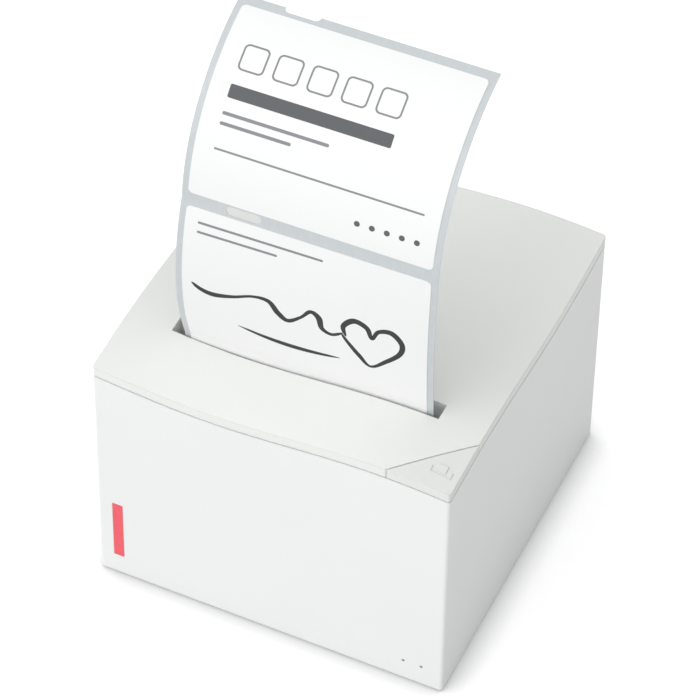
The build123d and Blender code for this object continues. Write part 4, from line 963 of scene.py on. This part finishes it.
@dataclass
class Springs:
    """The wound springs: one under the corner key, two behind the print head. Millimetres."""

    workshop: Workshop
    key_wire: float = 0.5
    key_clearance: float = 0.35
    key_turns: int = 9
    key_stroke: float = 0.4
    head_wire: float = 0.8
    head_radius: float = 3.0
    head_length: float = 7.65
    head_turns: int = 6
    head_lean: float = 18.0
    head_places: tuple[float, ...] = (-25.0, 25.0)
    head_keep: float = 0.885
    sides: int = 8
    steps_per_turn: int = 20

    def coil(
        self, foot: Vector, axis: Vector, mean_radius: float, wire: float, height: float, turns: int
    ) -> Shape:
        """Wind a spring by spinning a ring of wire about its axis while it climbs.

        Args:
            foot: Centre of its fixed end, in metres.
            axis: Direction it stands in.
            mean_radius: Radius of the wire's centre line, in metres.
            wire: Wire diameter, in metres.
            height: Height over all, in metres.
            turns: Number of turns.

        Returns:
            The closed mesh.
        """
        shape = bmesh.new()
        side = axis.orthogonal().normalized()
        across = axis.cross(side).normalized()
        centre = foot + axis * (wire / 2) + side * mean_radius
        ring = bmesh.ops.create_circle(shape, cap_ends=True, radius=wire / 2, segments=self.sides)
        turn = Matrix((side, axis, across)).transposed().to_4x4()
        bmesh.ops.transform(shape, matrix=Matrix.Translation(centre) @ turn, verts=ring["verts"])
        steps = turns * self.steps_per_turn
        climb = axis * ((height - wire) / steps)
        bmesh.ops.spin(
            shape, geom=shape.verts[:] + shape.edges[:] + shape.faces[:], cent=foot, axis=axis,
            dvec=climb, angle=math.tau * turns, steps=steps, use_merge=False,
        )
        return shape

    def build(self) -> None:
        """Build the key's spring and the two head springs."""
        low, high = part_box("key_spring")
        foot = Vector(((low.x + high.x) / 2, (low.y + high.y) / 2, low.z))
        wire, height = self.key_wire * MM, high.z - low.z
        radius = (high.x - low.x) / 2 - wire / 2 - self.key_clearance * MM
        coil = self.coil(foot, Vector((0, 0, 1)), radius, wire, height, self.key_turns)
        piece = self.workshop.piece(
            "key_spring_coil", coil, SPRING_WIRE, Body.BASE, Slot.SPRING, ("key_spring",), 60
        )
        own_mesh(piece)
        self.build_head_springs()

    def build_head_springs(self) -> None:
        """Build the two springs that press the print head, on their slanted axis."""
        lean = math.radians(self.head_lean)
        axis = Vector((0, math.cos(lean), math.sin(lean)))
        low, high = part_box("head_springs")
        middle = (low + high) / 2
        wire, length = self.head_wire * MM, self.head_length * MM
        radius = self.head_radius * MM - wire / 2
        shape = bmesh.new()
        for x in self.head_places:
            foot = Vector((x * MM, middle.y, middle.z)) - axis * length / 2
            take_in(shape, self.coil(foot, axis, radius, wire, length, self.head_turns))
        foot = Vector((0, middle.y, middle.z)) - axis * length / 2
        piece = self.workshop.piece(
            "head_spring_coils", shape, SPRING_WIRE, Body.BASE, Slot.SPRING, ("head_springs",), 60
        )
        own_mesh(piece)


@dataclass
class Screws:
    """Cross-head screws, each with a domed head, in place of the CAD's plain ones. Millimetres."""

    workshop: Workshop
    segments: int = 24
    shank: float = 1.25
    arm_share: float = 0.16
    reach_share: float = 0.5
    top_share: float = 0.7
    sink_share: float = 0.6

    def one(
        self, seat: Vector, out: Vector, head: float, rise: float, shank: float, length: float
    ) -> Shape:
        """Turn one screw: a lathe profile spun about its axis, with a cross sunk in its head.

        Args:
            seat: Where the head meets what it holds, in metres.
            out: Direction the head faces.
            head: Head radius in metres.
            rise: Head height in metres.
            shank: Shank radius in metres.
            length: Shank length in metres.

        Returns:
            The closed mesh.
        """
        shape = bmesh.new()
        profile = [
            (0, rise), (head * 0.45, rise * 0.97), (head * 0.78, rise * 0.84),
            (head * 0.95, rise * 0.55), (head, rise * 0.18), (head, 0), (shank, 0),
            (shank, -length * 0.85), (shank * 0.4, -length), (0, -length),
        ]
        draw(shape, [(r, 0, z) for r, z in profile], closed=False)
        lathe(shape, (0, 0, 0), (0, 0, 1), self.segments)
        bmesh.ops.remove_doubles(shape, verts=shape.verts, dist=1e-7)
        self.sink_cross(shape, head, rise)
        turn = out.to_track_quat("Z", "Y").to_matrix().to_4x4()
        bmesh.ops.transform(shape, matrix=Matrix.Translation(seat) @ turn, verts=shape.verts)
        return shape

    def sink_cross(self, shape: Shape, head: float, rise: float) -> None:
        """Sink a cross in the middle of the head by pushing in the faces of its four arms."""
        arm, reach = head * self.arm_share, head * self.reach_share
        for normal in ((1, 0, 0), (0, 1, 0)):
            for offset in (-reach, -arm, arm, reach):
                cut(shape, Vector(normal) * offset, normal, 1e-8)
        arms = []
        for face in shape.faces:
            middle = face.calc_center_median()
            if middle.z < rise * self.top_share:
                continue
            x, y = abs(middle.x), abs(middle.y)
            if (x < arm and y < reach) or (y < arm and x < reach):
                arms.append(face)
        extrude(shape, arms, -rise * self.sink_share)

    def build(self) -> None:
        """Build every set of screws, over its CAD node's own places."""
        down, up = Vector((0, 0, -1)), Vector((0, 0, 1))
        left, front = Vector((-1, 0, 0)), Vector((0, -1, 0))
        sets = {
            "base_screws": (Body.BASE, down, 2.6, 1.1),
            "plate_screws": (Body.BASE, up, 2.4, 1.4),
            "motor_screws": (Body.BASE, left, 2.2, 1.3),
            "board_screws": (Body.BASE, front, 2.4, 1.4),
            "carrier_screws": (Body.LID, down, 2.4, 1.4),
        }
        for node, (body, out, head, rise) in sets.items():
            shape = bmesh.new()
            for low, high in self.islands(node):
                size = (high - low).dot(Vector([abs(v) for v in out]))
                seat = (low + high) / 2 + out * size / 2 - out * rise * MM
                length = size - rise * MM
                take_in(shape, self.one(seat, out, head * MM, rise * MM, self.shank * MM, length))
            self.workshop.piece(f"{node}_cross_head", shape, PLATED_SCREW, body, Slot.SCREW, (node,), 40)

    @staticmethod
    def islands(node: str) -> list[tuple[Vector, Vector]]:
        """Give the box of each separate solid of a CAD node."""
        shape = bmesh.new()
        shape.from_mesh(frame["nodes"][node].data)
        bmesh.ops.remove_doubles(shape, verts=shape.verts, dist=1e-6)
        left = set(shape.verts)
        boxes = []
        while left:
            stack = [left.pop()]
            group = []
            while stack:
                vert = stack.pop()
                group.append(vert.co.copy())
                for edge in vert.link_edges:
                    other = edge.other_vert(vert)
                    if other in left:
                        left.discard(other)
                        stack.append(other)
            low = Vector([min(p[i] for p in group) for i in range(3)])
            high = Vector([max(p[i] for p in group) for i in range(3)])
            boxes.append((low, high))
        shape.free()
        return boxes


@dataclass
class Studio:
    """The pale floor, the soft light and the camera. Millimetres and degrees."""

    aim: Triple = (-14.44, 28.97, 31.70)
    azimuth: float = 24.168
    elevation: float = 47.493
    roll: float = 1.034
    distance: float = 1374.67
    sensor: float = 36.0
    lens: float = 226.2
    floor_size: float = 6000.0
    # Painted contact shadow on the floor: how far its ambient occlusion reaches, the occlusion range, and
    # the glow that range maps onto.
    painted_shadow_reach: float = 12.0
    painted_shadow_ao_range: Flat = (0.5, 0.92)
    painted_shadow_glow: Flat = (0.2, 0.56)
    sky_level: float = 0.89
    sky_tilt: Triple = (-0.45, -0.37, 0.13)
    lamp_place: Triple = (-500.0, -1100.0, 1000.0)
    lamp_aim: Triple = (0.0, 0.0, 60.0)
    lamp_size: float = 900.0
    lamp_watts: float = 2.5

    def build(self) -> None:
        """Set up floor, world, lamp and camera."""
        self.build_floor()
        self.build_world()
        self.build_lamp()
        self.build_camera()

    def build_floor(self) -> None:
        """Lay a wide white floor that keeps the printer's shadow and is plain white elsewhere; ambient
        occlusion dims its glow near the printer, which paints a contact shadow.
        """
        shape = bmesh.new()
        bmesh.ops.create_grid(shape, x_segments=1, y_segments=1, size=self.floor_size / 2 * MM)
        mesh = bpy.data.meshes.new("floor")
        shape.to_mesh(mesh)
        shape.free()
        floor = stand("floor", mesh)
        material = bpy.data.materials.new("studio_floor_paper")
        tree = blank_tree(material)
        paper = add_node(tree, "ShaderNodeBsdfDiffuse", {"Color": linear("CCCCCC")})
        # Painted contact shadow: ambient occlusion within this reach turns the floor's glow down round the
        # printer.
        reach = {"Distance": self.painted_shadow_reach * MM}
        near = add_node(tree, "ShaderNodeAmbientOcclusion", reach, samples=16).outputs["AO"]
        strength = remap(tree, near, self.painted_shadow_ao_range, self.painted_shadow_glow)
        lift = add_node(tree, "ShaderNodeEmission", {"Color": (1, 1, 1, 1), "Strength": strength})
        both = add_node(tree, "ShaderNodeAddShader", {0: paper.outputs[0], 1: lift.outputs[0]})
        plain = add_node(tree, "ShaderNodeBsdfDiffuse", {"Color": linear("D4D4D4")})
        self.part_rays(tree, "ShaderNodeOutputMaterial", plain, both)
        mesh.materials.append(material)

    def build_world(self) -> None:
        """Light the scene softly, brighter from the front left, behind a plain white background."""
        world = bpy.data.worlds.new("studio")
        bpy.context.scene.world = world
        tree = blank_tree(world)
        towards = add_node(tree, "ShaderNodeTexCoord").outputs["Generated"]
        ways = {0: towards, 1: self.sky_tilt}
        tilt = add_node(tree, "ShaderNodeVectorMath", ways, operation="DOT_PRODUCT").outputs["Value"]
        level = combine(tree, "ADD", tilt, self.sky_level)
        shown = add_node(tree, "ShaderNodeBackground", {"Color": (1, 1, 1, 1), "Strength": 1.0})
        light = add_node(tree, "ShaderNodeBackground", {"Color": linear("FDFEFE"), "Strength": level})
        self.part_rays(tree, "ShaderNodeOutputWorld", light, shown)

    @staticmethod
    def part_rays(tree: Tree, output: str, unseen: bpy.types.Node, seen: bpy.types.Node) -> None:
        """End a tree with one shader for what is seen and one for the rays that only light.

        Glossy and transmission rays show the same as camera rays do.
        """
        rays = add_node(tree, "ShaderNodeLightPath").outputs
        direct = combine(tree, "MAXIMUM", rays["Is Camera Ray"], rays["Is Glossy Ray"])
        direct = combine(tree, "MAXIMUM", direct, rays["Is Transmission Ray"])
        shaders = {0: direct, 1: unseen.outputs[0], 2: seen.outputs[0]}
        both = add_node(tree, "ShaderNodeMixShader", shaders)
        add_node(tree, output, {"Surface": both.outputs[0]})

    def build_lamp(self) -> None:
        """Hang a wide, weak lamp at the front left, which gives the edges their line of light."""
        light = bpy.data.lights.new("front_softbox", "AREA")
        light.shape = "SQUARE"
        light.size = self.lamp_size * MM
        light.energy = self.lamp_watts
        lamp = stand("front_softbox", light)
        lamp.location = Vector(self.lamp_place) * MM
        towards = Vector(self.lamp_aim) * MM - lamp.location
        lamp.rotation_euler = towards.to_track_quat("-Z", "Y").to_euler()

    def build_camera(self) -> None:
        """Set the camera where the photograph was taken from."""
        turn, rise, roll = (math.radians(v) for v in (self.azimuth, self.elevation, self.roll))
        right = Vector((math.cos(turn), math.sin(turn), 0))
        back = Vector((math.sin(turn) * math.cos(rise), -math.cos(turn) * math.cos(rise), math.sin(rise)))
        up = back.cross(right)
        tilted_right = right * math.cos(roll) + up * math.sin(roll)
        tilted_up = up * math.cos(roll) - right * math.sin(roll)
        data = bpy.data.cameras.new("camera")
        data.sensor_fit = "HORIZONTAL"
        data.sensor_width = self.sensor
        data.lens = self.lens
        data.clip_start = 0.05
        data.clip_end = 20.0
        camera = stand("camera", data)
        turned = Matrix((tilted_right, tilted_up, back)).transposed().to_4x4()
        place = (Vector(self.aim) + back * self.distance) * MM
        camera.matrix_world = Matrix.Translation(place) @ turned
        bpy.context.scene.camera = camera
        bpy.context.scene.view_settings.view_transform = "Standard"


def write_sizes() -> None:
    def plain(value: Any) -> list[list[float]]:
        return [[round(float(v), 6) for v in corner] for corner in value]


def clear_start_file() -> None:
    """Take away the cube, lamp and camera that a new file holds."""
    for thing in list(bpy.data.objects):
        if thing.name in ("Cube", "Light", "Camera"):
            bpy.data.objects.remove(thing)


def main() -> None:
    """Build the printer's looks and the studio round it."""
    logging.basicConfig(level=logging.INFO, format="%(message)s")
    clear_start_file()
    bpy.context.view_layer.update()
    workshop = Workshop()
    workshop.dress_frame()
    LabelStrip(workshop).build()
    LabelRoll(workshop).build()
    Springs(workshop).build()
    Screws(workshop).build()
    Studio().build()
    write_sizes()


if __name__ == "__main__":
    main()
